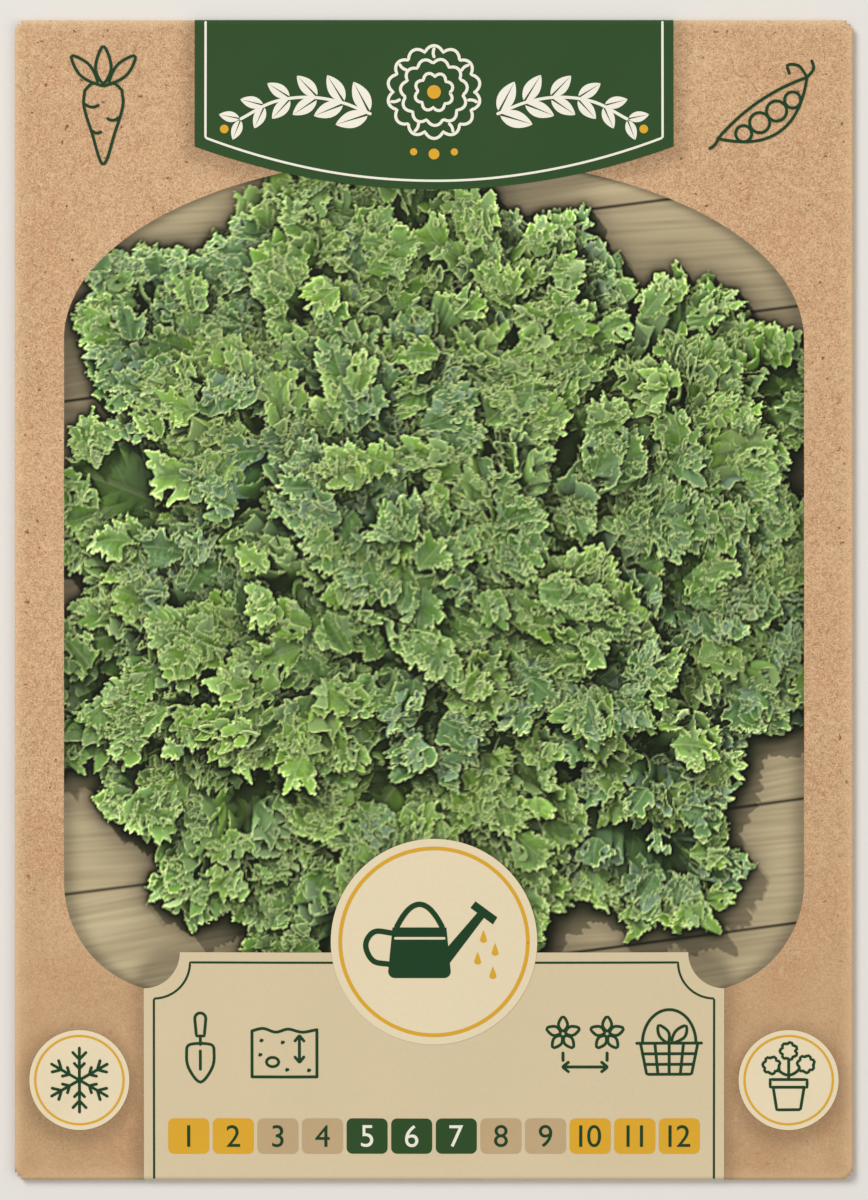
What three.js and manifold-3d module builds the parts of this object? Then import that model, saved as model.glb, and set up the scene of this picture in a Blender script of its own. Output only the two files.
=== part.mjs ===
// A sealed paper seed packet with loose seeds in it, lying on its back with the front up.
// One kraft paper blank is folded round into a flat tube with a glued seam down the back.
// A flap at each end of the front folds over the back and is glued there.
// Units are millimetres: +X to the right of the front, +Y to its top, +Z out of it.
// The origin is on the table, under the middle of the packet.
import * as THREE from "three";
import { mergeVertices } from "three/addons/utils/BufferGeometryUtils.js";
import Module from "manifold-3d";

const wasm = await Module();
wasm.setup();

// The packet
const packetWidth = 115.7;
const packetHeight = 160;
const paper = 0.2; // thickness of the sheet
const glue = 0.12; // thickness of a glue line between two layers
const fullness = 3.7; // how far the seeds and the springy paper lift the middle of the front
const fullnessPower = 1.4; // over 1, so that the front leaves its folds level

// The folded parts of the blank
const seamOverlap = 14;
const seamStep = 5; // length over which the inner layer climbs onto the outer one
const bottomFlap = 14;
const topFlap = 22;
const flapTaper = 6; // how much shorter each end of a flap's free edge is than its fold
const cornerNotch = 0.9; // cut out of the blank at each corner, so that the folds clear each other

// The glue lines
const glueBite = 0.05; // a line reaches this far into the paper on both sides
const seamGlueWidth = 8;
const seamGlueEndMargin = 9;
const flapGlueWidth = 7;
const flapGlueFromFold = 4;
const flapGlueSideMargin = 13;

// The seeds
const seedCount = 110;
const seedRadius = 1.03; // to the corners of the faceted seed, a little over half of a real one
const seedContact = 1.56; // between the middles of two seeds that hold together
const seedLeastSpacing = 2.1; // between the middles of all others
const seedBed = { x: 3, y: -30, halfWidth: 17, halfHeight: 12.5 };
const seedClearance = 0.3; // between the seeds and the paper under them
const seedDraw = 20; // start of the seeded random draw

// Heights of the middle of each layer of paper, from the table up
const pitch = paper + glue;
const flapLevel = paper / 2;
const backLevel = flapLevel + pitch;
const seamLevel = backLevel + pitch;
const frontLevel = seamLevel + pitch;

// The front is flat up to its folds, which start half a fold inside the packet's outline
const sideFoldRadius = (frontLevel - backLevel) / 2;
const endFoldRadius = (frontLevel - flapLevel) / 2;
const frontHalfWidth = packetWidth / 2 - sideFoldRadius - paper / 2;
const frontHalfHeight = packetHeight / 2 - endFoldRadius - paper / 2;
const sideFoldLength = Math.PI * sideFoldRadius;
const endFoldLength = Math.PI * endFoldRadius;

// Divisions of the faceted paper
const frontColumns = 16;
const frontRows = 22;
const foldSteps = 4; // even, so that one edge lies on the outline

const smooth = (t) => {
  const c = THREE.MathUtils.clamp(t, 0, 1);
  return c * c * (3 - 2 * c);
};
const swell = (t) => Math.pow(Math.max(0, 1 - t * t), fullnessPower);
const swellSlope = (t) =>
  -2 * fullnessPower * t * Math.pow(Math.max(0, 1 - t * t), fullnessPower - 1);

// A point of the front: where it is and which way it faces
function onFront(u, v) {
  const across = u / frontHalfWidth;
  const along = v / frontHalfHeight;
  const point = new THREE.Vector3(u, v, frontLevel + fullness * swell(across) * swell(along));
  const normal = new THREE.Vector3(
    (-fullness * swellSlope(across) * swell(along)) / frontHalfWidth,
    (-fullness * swell(across) * swellSlope(along)) / frontHalfHeight,
    1,
  );
  return { point, normal: normal.normalize() };
}

// A point that lies this far past a fold, seen from the side: how far out, how high, and its facing
function pastFold(distance, radius, level) {
  const angle = Math.min(distance / radius, Math.PI);
  const flat = Math.max(0, distance - Math.PI * radius);
  return {
    out: radius * Math.sin(angle) - flat,
    height: level - radius * (1 - Math.cos(angle)),
    facingOut: Math.sin(angle),
    facingUp: Math.cos(angle),
  };
}

// A point of the two side panels, which fold round to the back; the right one lies inside at the seam
function onSide(u, v) {
  const side = Math.sign(u);
  const { out, height, facingOut, facingUp } = pastFold(
    Math.abs(u) - frontHalfWidth,
    sideFoldRadius,
    frontLevel,
  );
  const x = side * (frontHalfWidth + out);
  const isBack = facingUp < -0.999 && side > 0;
  const climb = isBack ? smooth((seamOverlap / 2 + 1 + seamStep - x) / seamStep) : 0;
  return {
    point: new THREE.Vector3(x, v, height + pitch * climb),
    normal: new THREE.Vector3(side * facingOut, 0, facingUp).normalize(),
  };
}

// A point of the two flaps, which fold over the back at the packet's ends and taper to their free edges
function onFlap(u, v) {
  const end = Math.sign(v);
  const past = Math.abs(v) - frontHalfHeight;
  const { out, height, facingOut, facingUp } = pastFold(past, endFoldRadius, frontLevel);
  const length = end > 0 ? topFlap : bottomFlap;
  const reach = Math.max(0, past - endFoldLength) / length;
  const x = u * (1 - (flapTaper / frontHalfWidth) * reach);
  return {
    point: new THREE.Vector3(x, end * (frontHalfHeight + out), height),
    normal: new THREE.Vector3(0, end * facingOut, facingUp).normalize(),
  };
}

// Evenly spaced values, ends included
const steps = (from, to, count) =>
  Array.from({ length: count + 1 }, (_, i) => from + ((to - from) * i) / count);

// The blank's grid lines, as distances on the flat sheet from its middle
const sideColumnLimit = frontHalfWidth - cornerNotch;
const endRowLimit = frontHalfHeight - cornerNotch;
const frontX = [-frontHalfWidth, ...steps(-sideColumnLimit, sideColumnLimit, frontColumns), frontHalfWidth];
const frontY = [-frontHalfHeight, ...steps(-endRowLimit, endRowLimit, frontRows), frontHalfHeight];
const foldX = steps(frontHalfWidth, frontHalfWidth + sideFoldLength, foldSteps);
const foldY = steps(frontHalfHeight, frontHalfHeight + endFoldLength, foldSteps);
const backStart = frontHalfWidth + sideFoldLength;
const backEnd = backStart + frontHalfWidth + seamOverlap / 2;
const climbEnd = backStart + frontHalfWidth - seamOverlap / 2 - 1;
const climbStart = climbEnd - seamStep;
const leftX = [...foldX, ...steps(backStart, backEnd, 3).slice(1)];
const rightX = [
  ...foldX,
  ...steps(backStart, climbStart, 2).slice(1),
  ...steps(climbStart, climbEnd, 4).slice(1),
  backEnd,
];
const flapY = (length) => [...foldY, ...steps(foldY.at(-1), foldY.at(-1) + length, 2).slice(1)];

// The folded sheet: patches of a grid that share the vertices of their common lines,
// with the same grid on both faces of the paper and walls along every cut edge.
function foldedSheet() {
  const middles = [];
  const indexOf = new Map();
  const quads = [];
  const vertex = (u, v, place) => {
    const key = `${u.toFixed(4)} ${v.toFixed(4)}`;
    if (!indexOf.has(key)) {
      indexOf.set(key, middles.length);
      middles.push(place(u, v));
    }
    return indexOf.get(key);
  };
  const patch = (columns, rows, place) => {
    const across = [...columns].sort((a, b) => a - b);
    const along = [...rows].sort((a, b) => a - b);
    for (let i = 0; i + 1 < across.length; i++)
      for (let j = 0; j + 1 < along.length; j++)
        quads.push([
          vertex(across[i], along[j], place),
          vertex(across[i + 1], along[j], place),
          vertex(across[i + 1], along[j + 1], place),
          vertex(across[i], along[j + 1], place),
        ]);
  };
  const sideY = frontY.slice(1, -1);
  const flapX = frontX.slice(1, -1);
  patch(frontX, frontY, onFront);
  patch(leftX.map((x) => -x), sideY, onSide);
  patch(rightX, sideY, onSide);
  patch(flapX, flapY(topFlap), onFlap);
  patch(flapX, flapY(bottomFlap).map((y) => -y), onFlap);

  const count = middles.length;
  const face = (offset) =>
    middles.flatMap(({ point, normal }) => point.clone().addScaledVector(normal, offset).toArray());
  const positions = [...face(paper / 2), ...face(-paper / 2)];
  const triangles = [];
  const edges = new Map();
  for (const [a, b, c, d] of quads) {
    triangles.push([a, b, c], [a, c, d]);
    triangles.push([a + count, c + count, b + count], [a + count, d + count, c + count]);
    for (const [from, to] of [[a, b], [b, c], [c, d], [d, a]])
      if (!edges.delete(`${to} ${from}`)) edges.set(`${from} ${to}`, [from, to]);
  }
  for (const [from, to] of edges.values())
    triangles.push([from, from + count, to + count], [from, to + count, to]);
  return new wasm.Manifold(
    new wasm.Mesh({
      numProp: 3,
      vertProperties: new Float32Array(positions),
      triVerts: new Uint32Array(triangles.flat()),
    }),
  );
}

// A closed three.js shape as a solid
function solid(geometry) {
  geometry.deleteAttribute("normal");
  geometry.deleteAttribute("uv");
  const merged = mergeVertices(geometry, 1e-4);
  return new wasm.Manifold(
    new wasm.Mesh({
      numProp: 3,
      vertProperties: merged.attributes.position.array,
      triVerts: new Uint32Array(merged.index.array),
    }),
  );
}

// A glue line: a thin strip that joins two layers of paper across the gap over the lower one
function glueLine(width, length, x, y, gapFloor) {
  const strip = new THREE.BoxGeometry(width, length, glue + 2 * glueBite);
  return solid(strip.translate(x, y, gapFloor + glue / 2));
}

function envelope() {
  const flapLine = (end) =>
    glueLine(
      2 * (frontHalfWidth - flapGlueSideMargin),
      flapGlueWidth,
      0,
      end * (packetHeight / 2 - flapGlueFromFold - flapGlueWidth / 2),
      paper,
    );
  const seamLength = 2 * (frontHalfHeight - seamGlueEndMargin);
  return foldedSheet()
    .add(glueLine(seamGlueWidth, seamLength, 0, 0, paper + pitch))
    .add(flapLine(1))
    .add(flapLine(-1));
}

// Evenly spread numbers from 0 to 1, the same in every run
function randomDraw(start) {
  let state = start;
  return () => {
    state = (Math.imul(state, 1664525) + 1013904223) >>> 0;
    return state / 2 ** 32;
  };
}

// The seeds lie one deep: each new one touches one that lies there already and keeps clear of the rest
function seedPlaces() {
  const random = randomDraw(seedDraw);
  const places = [[0, 0]];
  while (places.length < seedCount) {
    const touched = places[Math.floor(random() * places.length)];
    const bearing = 2 * Math.PI * random();
    const x = touched[0] + seedContact * Math.cos(bearing);
    const y = touched[1] + seedContact * Math.sin(bearing);
    const inBed = Math.hypot(x / seedBed.halfWidth, y / seedBed.halfHeight) < 1;
    const isClear = places.every(
      (other) => other === touched || Math.hypot(x - other[0], y - other[1]) > seedLeastSpacing,
    );
    if (inBed && isClear) places.push([x, y]);
  }
  return places;
}

function seedHeap() {
  const height = seamLevel + paper / 2 + seedClearance + seedRadius;
  const seeds = seedPlaces().map(([x, y], turn) =>
    solid(
      new THREE.IcosahedronGeometry(seedRadius, 0)
        .rotateZ(turn)
        .translate(seedBed.x + x, seedBed.y + y, height),
    ),
  );
  return seeds.reduce((heap, seed) => heap.add(seed));
}

// A solid as a named mesh
function piece(name, shape, color, roughness) {
  const { numProp, vertProperties, triVerts } = shape.getMesh();
  const geometry = new THREE.BufferGeometry();
  const positions = new THREE.InterleavedBuffer(vertProperties, numProp);
  geometry.setAttribute("position", new THREE.InterleavedBufferAttribute(positions, 3, 0));
  geometry.setIndex(new THREE.BufferAttribute(triVerts, 1));
  const facets = geometry.toNonIndexed();
  facets.computeVertexNormals();
  const material = new THREE.MeshStandardMaterial({ color, roughness, metalness: 0 });
  const mesh = new THREE.Mesh(facets, material);
  mesh.name = name;
  return mesh;
}

const packet = new THREE.Group();
packet.add(piece("envelope", envelope(), 0xcfa77f, 0.85));
packet.add(piece("seeds", seedHeap(), 0x3d2b22, 0.6));

export default packet;
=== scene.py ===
"""A kraft-paper seed packet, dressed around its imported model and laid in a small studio.

Everything is in metres in the model's own frame: +X to the right of the packet's front, +Y to its
top, +Z out of it, with the table at z = 0. Print is drawn flat, in millimetres from the middle of
the front, and is then laid on the folded sheet.
"""

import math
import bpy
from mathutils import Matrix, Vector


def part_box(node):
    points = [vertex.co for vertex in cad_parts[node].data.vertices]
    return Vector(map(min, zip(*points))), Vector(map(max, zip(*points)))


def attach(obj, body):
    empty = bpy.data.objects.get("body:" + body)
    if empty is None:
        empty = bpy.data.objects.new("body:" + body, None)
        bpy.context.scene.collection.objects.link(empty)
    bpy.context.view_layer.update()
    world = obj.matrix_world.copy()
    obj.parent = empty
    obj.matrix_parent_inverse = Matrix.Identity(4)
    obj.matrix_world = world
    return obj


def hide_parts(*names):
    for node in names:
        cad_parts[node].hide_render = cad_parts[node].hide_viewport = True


bl_info = {
    "name": "Seed Packet",
    "version": (1, 0, 0),
    "blender": (4, 5, 0),
    "location": "3D View > Sidebar > Seed Packet",
    "description": "Builds a printed kraft-paper seed packet, the seeds in it and a studio round it",
    "category": "Add Mesh",
}

from typing import NamedTuple

import bpy
import numpy as np
from mathutils import Vector
from mathutils.geometry import delaunay_2d_cdt

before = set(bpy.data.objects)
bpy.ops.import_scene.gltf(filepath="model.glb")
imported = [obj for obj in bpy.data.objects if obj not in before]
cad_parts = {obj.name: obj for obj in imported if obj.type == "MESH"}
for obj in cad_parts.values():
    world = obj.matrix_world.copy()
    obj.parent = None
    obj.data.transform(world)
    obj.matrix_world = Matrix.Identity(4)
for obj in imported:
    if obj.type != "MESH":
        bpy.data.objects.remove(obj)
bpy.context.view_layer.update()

MM = 0.001
ENVELOPE_LOW, ENVELOPE_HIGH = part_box("envelope")
SEEDS_LOW, SEEDS_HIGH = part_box("seeds")


def linear(hex_colour):
    """An sRGB hex colour as linear red, green and blue."""
    parts = [int(hex_colour[i : i + 2], 16) / 255 for i in (1, 3, 5)]
    return [c / 12.92 if c <= 0.04045 else ((c + 0.055) / 1.055) ** 2.4 for c in parts]


def size(name, description, millimetres):
    """A length that a user may change."""
    return bpy.props.FloatProperty(
        name=name, description=description, default=millimetres * MM, unit="LENGTH", precision=5
    )


def colour(name, description, hex_colour):
    """A colour that a user may change."""
    return bpy.props.FloatVectorProperty(
        name=name, description=description, default=linear(hex_colour), subtype="COLOR"
    )


def number(name, description, default):
    """A plain number that a user may change."""
    return bpy.props.FloatProperty(name=name, description=description, default=default)


def count(name, description, default):
    """A whole number that a user may change."""
    return bpy.props.IntProperty(name=name, description=description, default=default, min=0)


class PaperSettings(bpy.types.PropertyGroup):
    """The folded kraft blank."""

    thickness: size("Thickness", "Thickness of the sheet", 0.2)
    glue: size("Glue", "Thickness of a glue line between two layers", 0.12)
    cell: size("Cell", "Spacing of the sheet's grid", 0.9)
    swell_power: number("Swell power", "How level the front leaves its folds", 1.4)
    seam_overlap: size("Seam overlap", "Width of the lap down the back", 14)
    seam_step: size("Seam step", "Length over which the inner layer climbs onto the outer", 5)
    bottom_flap: size("Bottom flap", "Length of the flap at the bottom", 14)
    top_flap: size("Top flap", "Length of the flap at the top", 22)
    flap_taper: size("Flap taper", "How much shorter each end of a flap's free edge is", 6)
    corner_notch: size("Corner notch", "Cut out of the blank at each corner", 0.5)
    buckle: size("Buckle", "Depth of the soft folds that run in from the edges", 0.17)
    dent: size("Dent", "Depth of the wide dents of the front", 0.16)
    crease: size("Crease", "Depth of the pinch at each corner", 0.3)
    seed_swell: size("Seed swell", "How far the seeds push the front up", 0.22)
    top_tone: colour("Top tone", "Kraft paper at the top of the packet", "#d4aa81")
    bottom_tone: colour("Bottom tone", "Kraft paper at the foot of the packet", "#c09c72")
    dark_fibre: colour("Dark fibre", "Bark specks and dark fibres", "#90613d")
    pale_fibre: colour("Pale fibre", "Bare pale fibres", "#eccba0")


class PrintSettings(bpy.types.PropertyGroup):
    """Inks, and the sizes of the printed panels."""

    step: size("Ink step", "Height of one print over the one under it", 0.03)
    green: colour("Green", "Ink of the header", "#2c4c23")
    line_green: colour("Line green", "Ink of the line drawings", "#173f1f")
    beige: colour("Beige", "Ink of the plaque", "#dbc9a4")
    cream: colour("Cream", "Ink of the badge", "#ebdbb8")
    pale: colour("Pale", "Ink of the garland and the numbers", "#f3eede")
    mustard: colour("Mustard", "Ink of the ring and the drops", "#dfa92c")
    kraft_tint: colour("Kraft tint", "Ink of the resting months", "#c3a880")
    window_half_width: size("Window half width", "Half the width of the picture", 51)
    window_shoulder: size("Window shoulder", "Where the picture's arch begins", 36)
    window_top: size("Window top", "Top of the picture's arch", 61)
    window_bottom: size("Window bottom", "Foot of the picture", -54)
    window_corner: size("Window corner", "Corner radius at the picture's foot", 15)
    header_half_width: size("Header half width", "Half the width of the header", 33)
    header_edge: size("Header edge", "Foot of the header at its sides", 62.5)
    header_low: size("Header low", "Foot of the header in its middle", 56.5)
    plaque_half_width: size("Plaque half width", "Half the width of the plaque", 40)
    plaque_top: size("Plaque top", "Top edge of the plaque", -48.5)
    plaque_scoop: size("Plaque scoop", "Radius of the plaque's hollow corners", 5)
    badge_y: size("Badge height", "Middle of the badge", -47)
    badge_radius: size("Badge radius", "Radius of the badge", 14.2)
    disc_x: size("Disc place", "How far each disc lies from the middle", 48.9)
    disc_y: size("Disc height", "Middle of the discs", -66.2)
    disc_radius: size("Disc radius", "Radius of the discs", 6.9)


class PictureSettings(bpy.types.PropertyGroup):
    """The printed picture: curly leaves heaped on pale boards."""

    cell: size("Cell", "Spacing of the picture's grid on the packet", 0.16)
    leaves: count("Leaves", "Number of leaves in the heap", 90)
    draw: count("Draw", "Start of the random draw", 11)
    contrast: number("Contrast", "Power that deepens the picture's shades", 1.16)
    rim: colour("Rim", "Thin pale edge of a leaf", "#ccd996")
    rib: colour("Rib", "Ribs and veins", "#a9bb88")
    board: colour("Board", "Pale wood", "#d2c3a0")
    grain: colour("Grain", "Grain of the wood", "#a99a7c")


class SeedSettings(bpy.types.PropertyGroup):
    """The loose seeds in the packet."""

    diameter: size("Diameter", "Diameter of a seed", 1.9)
    spacing: size("Spacing", "Least distance between the middles of two seeds", 2.0)
    draw: count("Draw", "Start of the random draw", 3)
    coat: colour("Coat", "Brown seed coat", "#3d2b22")
    coat_dark: colour("Dark coat", "Darkest of the seed coats", "#1f1714")


class StageSettings(bpy.types.PropertyGroup):
    """Camera, lights and floor."""

    margin: size("Margin", "Floor that shows above and below the packet", 2.6)
    lens: number("Lens", "Focal length of the camera in millimetres", 150)
    key: number("Key light", "Power of the light at the upper left, in watts", 52)
    fill: number("Fill light", "Power of the light at the right, in watts", 17)
    sky: number("Sky", "Strength of the even light from all round", 0.42)
    floor: colour("Floor", "Plain pale floor", "#e9e6e0")


class PacketSettings(bpy.types.PropertyGroup):
    """All settings of the packet."""

    paper: bpy.props.PointerProperty(type=PaperSettings)
    print: bpy.props.PointerProperty(type=PrintSettings)
    picture: bpy.props.PointerProperty(type=PictureSettings)
    seeds: bpy.props.PointerProperty(type=SeedSettings)
    stage: bpy.props.PointerProperty(type=StageSettings)


def settings():
    """The scene's packet settings."""
    return bpy.context.scene.seed_packet


# Shape of the folded sheet


def wave(place, length, phase):
    """An uneven wave of about this length."""
    slow = np.sin(2 * math.pi * place / (3.7 * length) + 2 * phase)
    return np.sin(2 * math.pi * place / length + phase + 1.1 * slow)


def smooth(low, high, value):
    """0 below low, 1 above high, and an even climb between them."""
    t = np.clip((value - low) / (high - low), 0, 1)
    return t * t * (3 - 2 * t)


FOLD_STEPS = 8
BACK_CELL = 2.2 * MM


class PacketShape:
    """Takes a place on the flat blank to its place on the folded and filled packet."""

    # Turns across, turns along, phase and weight of each wide dent
    DENTS = ((0.9, 0.45, 0.3, 0.5), (1.6, -0.8, 1.9, 0.3), (-0.6, 1.3, 4.0, 0.4), (2.3, 1.7, 5.1, 0.16))
    CORNER_PINCH = {(-1, -1): 0.7, (1, -1): 1.0, (-1, 1): 0.85, (1, 1): 0.55}
    PINCH_START, PINCH_FULL, PINCH_END, PINCH_WIDTH = 3 * MM, 11 * MM, 30 * MM, 2.4 * MM
    # Slope of a pinch, and what makes true lengths of the measures along it and beside it
    PINCH_SLOPE, PINCH_ALONG, PINCH_BESIDE = 1.25, 1.6, 1.28
    SIDE_BUCKLE, END_BUCKLE = 17 * MM, 22 * MM
    # How fast the rise over the seeds falls off, and how near a fold all unevenness fades out
    BED_FALL, FOLD_HOLD = 0.7, 14
    SEAM_CLEARANCE = 1 * MM

    def __init__(self, paper):
        self.paper = paper
        pitch = paper.thickness + paper.glue
        flap_level = paper.thickness / 2
        back_level = flap_level + pitch
        self.pitch = pitch
        self.front_level = back_level + 2 * pitch
        self.side_radius = (self.front_level - back_level) / 2
        self.end_radius = (self.front_level - flap_level) / 2
        self.half_width = ENVELOPE_HIGH.x - self.side_radius - paper.thickness / 2
        self.half_height = ENVELOPE_HIGH.y - self.end_radius - paper.thickness / 2
        self.fullness = ENVELOPE_HIGH.z - self.front_level - paper.thickness / 2

    def unevenness(self, u, v):
        """Buckles that run in from the folds, wide dents and a pinch at each corner."""
        paper = self.paper
        across, along = u / self.half_width, v / self.half_height
        side, end = np.abs(across), np.abs(along)
        bed, bed_half = (SEEDS_LOW + SEEDS_HIGH) / 2, (SEEDS_HIGH - SEEDS_LOW) / 2
        from_bed = ((u - bed.x) / bed_half.x) ** 2 + ((v - bed.y) / bed_half.y) ** 2
        rise = paper.seed_swell * np.exp(-self.BED_FALL * from_bed)
        side_wave = wave(v, self.SIDE_BUCKLE, 1 + np.sign(u))
        end_wave = wave(u, self.END_BUCKLE, 2 + np.sign(v))
        rise += paper.buckle * self.beside_fold(side) * (1 - end**2) * side_wave
        rise += paper.buckle * self.beside_fold(end) * (1 - side**2) * end_wave
        inner = (1 - side**2) * (1 - end**2)
        for turns_u, turns_v, phase, weight in self.DENTS:
            turns = turns_u * across + turns_v * along
            rise += paper.dent * weight * inner * np.sin(2 * turns + phase)
        for (right, up), weight in self.CORNER_PINCH.items():
            from_side = self.half_width - right * u
            from_end = self.half_height - up * v
            inwards = (from_side + self.PINCH_SLOPE * from_end) / self.PINCH_ALONG
            beside = (from_side - from_end / self.PINCH_SLOPE) / self.PINCH_BESIDE
            reach = smooth(self.PINCH_START, self.PINCH_FULL, inwards)
            reach *= 1 - smooth(self.PINCH_START, self.PINCH_END, inwards)
            rise -= paper.crease * weight * reach * np.exp(-((beside / self.PINCH_WIDTH) ** 2))
        for share in (side, end):
            rise *= np.minimum(1, self.FOLD_HOLD * (1 - share))
        return rise

    def beside_fold(self, share):
        """Strength of the buckles at a share of the way to a fold: about 1 near it, 0 on it."""
        return 9.5 * share**6 * (1 - share**2)

    def front_height(self, u, v):
        """Height of the middle of the front sheet."""
        across, along = u / self.half_width, v / self.half_height
        swell = (np.maximum(0, 1 - across**2) * np.maximum(0, 1 - along**2)) ** self.paper.swell_power
        return self.front_level + self.fullness * swell + self.unevenness(u, v)

    def place(self, u, v, lift=0.0):
        """Points on the packet for places on the blank, this far out from the middle of the paper."""
        u, v = np.asarray(u, float), np.asarray(v, float)
        past_side = np.abs(u) - self.half_width
        past_end = np.abs(v) - self.half_height
        on_front_u = np.clip(u, -self.half_width, self.half_width)
        on_front_v = np.clip(v, -self.half_height, self.half_height)
        x, y = u.copy(), v.copy()
        z = self.front_height(on_front_u, on_front_v) + lift
        out, height, flat = self.past_fold(past_side, self.side_radius, lift)
        seam_start = self.paper.seam_overlap / 2 + self.SEAM_CLEARANCE + self.paper.seam_step
        climb = smooth(0, 1, (seam_start - self.half_width - out) / self.paper.seam_step)
        climb = np.where((flat > 0) & (u > 0), climb, 0)
        x = np.where(past_side > 0, np.sign(u) * (self.half_width + out), x)
        z = np.where(past_side > 0, height + self.pitch * climb, z)
        out, height, flat = self.past_fold(past_end, self.end_radius, lift)
        reach = flat / np.where(v > 0, self.paper.top_flap, self.paper.bottom_flap)
        x = np.where(past_end > 0, u * (1 - self.paper.flap_taper / self.half_width * reach), x)
        y = np.where(past_end > 0, np.sign(v) * (self.half_height + out), y)
        z = np.where(past_end > 0, height, z)
        return np.stack([x, y, z], axis=-1)

    def facing(self, u, v, lift):
        """Which way the packet faces at places on the blank."""
        step = 0.05 * MM
        across = self.place(u + step, v, lift) - self.place(u - step, v, lift)
        along = self.place(u, v + step, lift) - self.place(u, v - step, lift)
        outwards = np.cross(across, along)
        return outwards / np.linalg.norm(outwards, axis=1, keepdims=True)

    def past_fold(self, distance, radius, lift):
        """How far out and how high a point past a fold lies, and how far onto the back it is."""
        angle = np.clip(distance / radius, 0, math.pi)
        flat = np.maximum(0, distance - math.pi * radius)
        out = (radius + lift) * np.sin(angle) - flat
        height = self.front_level - radius + (radius + lift) * np.cos(angle)
        return out, height, flat

    def front_lines(self, half, notch):
        """Grid lines of the front along one side, ends included."""
        steps = round(2 * (half - notch) / self.paper.cell)
        inner = np.linspace(-(half - notch), half - notch, steps + 1)
        return np.concatenate([[-half], inner, [half]])

    def fold_lines(self, half, radius):
        """Grid lines round a fold."""
        return half + math.pi * radius * np.linspace(0, 1, FOLD_STEPS + 1)


# Meshes and pieces


def plain_mesh(name, points, faces):
    """A smooth-shaded mesh of these points, and of faces that all have as many corners."""
    faces = np.asarray(faces, np.int32)
    mesh = bpy.data.meshes.new(name)
    mesh.vertices.add(len(points))
    mesh.vertices.foreach_set("co", np.asarray(points, np.float32).ravel())
    mesh.loops.add(faces.size)
    mesh.loops.foreach_set("vertex_index", faces.ravel())
    mesh.polygons.add(len(faces))
    mesh.polygons.foreach_set("loop_start", np.arange(0, faces.size, faces.shape[1], dtype=np.int32))
    mesh.update(calc_edges=True)
    mesh.validate()
    mesh.shade_smooth()
    return mesh


def new_object(name, data):
    """An object in the scene with this data."""
    made = bpy.data.objects.new(name, data)
    bpy.context.scene.collection.objects.link(made)
    return made


def grid_faces(rows, columns):
    """The quads of a grid of points that runs column by column within each row."""
    corner = (np.arange(rows - 1)[:, None] * columns + np.arange(columns - 1)[None, :]).ravel()
    return np.stack([corner, corner + 1, corner + columns + 1, corner + columns], axis=1)


def piece(name, mesh, material, replaces=()):
    """A finished piece of the packet, with its place in its mesh."""
    if not mesh.polygons:
        raise RuntimeError(f"{name} came out empty")
    made = new_object(name, mesh)
    mesh.materials.clear()
    mesh.materials.append(material)
    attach(made, "root")
    if replaces:
        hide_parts(*replaces)


def evaluated_mesh(source):
    """The mesh that an object's modifiers give, with the object itself removed."""
    graph = bpy.context.evaluated_depsgraph_get()
    mesh = bpy.data.meshes.new_from_object(source.evaluated_get(graph))
    bpy.data.objects.remove(source)
    return mesh


def mesh_points(mesh):
    """A mesh's points as an array."""
    points = np.empty(len(mesh.vertices) * 3, np.float32)
    mesh.vertices.foreach_get("co", points)
    return points.reshape(-1, 3).astype(float)


def lay_on_packet(mesh, shape, layer):
    """Lays a flat drawing on the sheet, with its faces outwards and shaded as the sheet is."""
    flat = mesh_points(mesh)
    lift = shape.paper.thickness / 2 + layer * settings().print.step + flat[:, 2]
    placed = shape.place(flat[:, 0], flat[:, 1], lift)
    for face in mesh.polygons:
        if face.normal.z < 0:
            face.flip()
    mesh.vertices.foreach_set("co", placed.astype(np.float32).ravel())
    mesh.update()
    mesh.shade_smooth()
    mesh.normals_split_custom_set_from_vertices(shape.facing(flat[:, 0], flat[:, 1], lift).tolist())
    return mesh


# Flat drawing, in millimetres


def line(*points):
    """A line through these points."""
    return np.array(points, float)


def arc(x, y, radius, start, end, radius_y=None, steps=28):
    """An arc between two angles in degrees, or part of an ellipse."""
    turn = np.radians(np.linspace(start, end, steps + 1))
    return np.stack([x + radius * np.cos(turn), y + (radius_y or radius) * np.sin(turn)], axis=1)


def bow(start, end, rise, steps=20):
    """A shallow curve from start to end, this far to the left of the straight line in its middle."""
    start, end = np.array(start, float), np.array(end, float)
    along = np.linspace(0, 1, steps + 1)[:, None]
    across = np.array([start[1] - end[1], end[0] - start[0]]) / max(1e-9, np.hypot(*(end - start)))
    return start + (end - start) * along + across * 4 * rise * along * (1 - along)


def through(points, closed=False, steps=8):
    """A smooth line through these points."""
    knots = np.array(points, float)
    if closed:
        knots = np.vstack([knots[-1], knots, knots[:2]])
    else:
        knots = np.vstack([2 * knots[0] - knots[1], knots, 2 * knots[-1] - knots[-2]])
    t = np.linspace(0, 1, steps, endpoint=False)[:, None]
    parts = []
    for a, b, c, d in zip(knots[:-3], knots[1:-2], knots[2:-1], knots[3:]):
        bend = (c - a) * t + (2 * a - 5 * b + 4 * c - d) * t**2 + (3 * b - a - 3 * c + d) * t**3
        parts.append(b + bend / 2)
    if not closed:
        parts.append(knots[-2:-1])
    return np.vstack(parts)


def mirrored(path):
    """A line mirrored left to right, run the other way."""
    return (path * [-1, 1])[::-1]


def loop(path):
    """A line closed by its first point."""
    return np.vstack([path, path[:1]])


def moved(paths, x, y, scale=1.0):
    """Lines scaled and moved."""
    return [path * scale + [x, y] for path in paths]


# How far from the middle a print nears an end fold, and its longest stretch there
FOLD_START = (ENVELOPE_HIGH.y - 1.5 * MM) / MM
FOLD_STRETCH = 0.12


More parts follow.
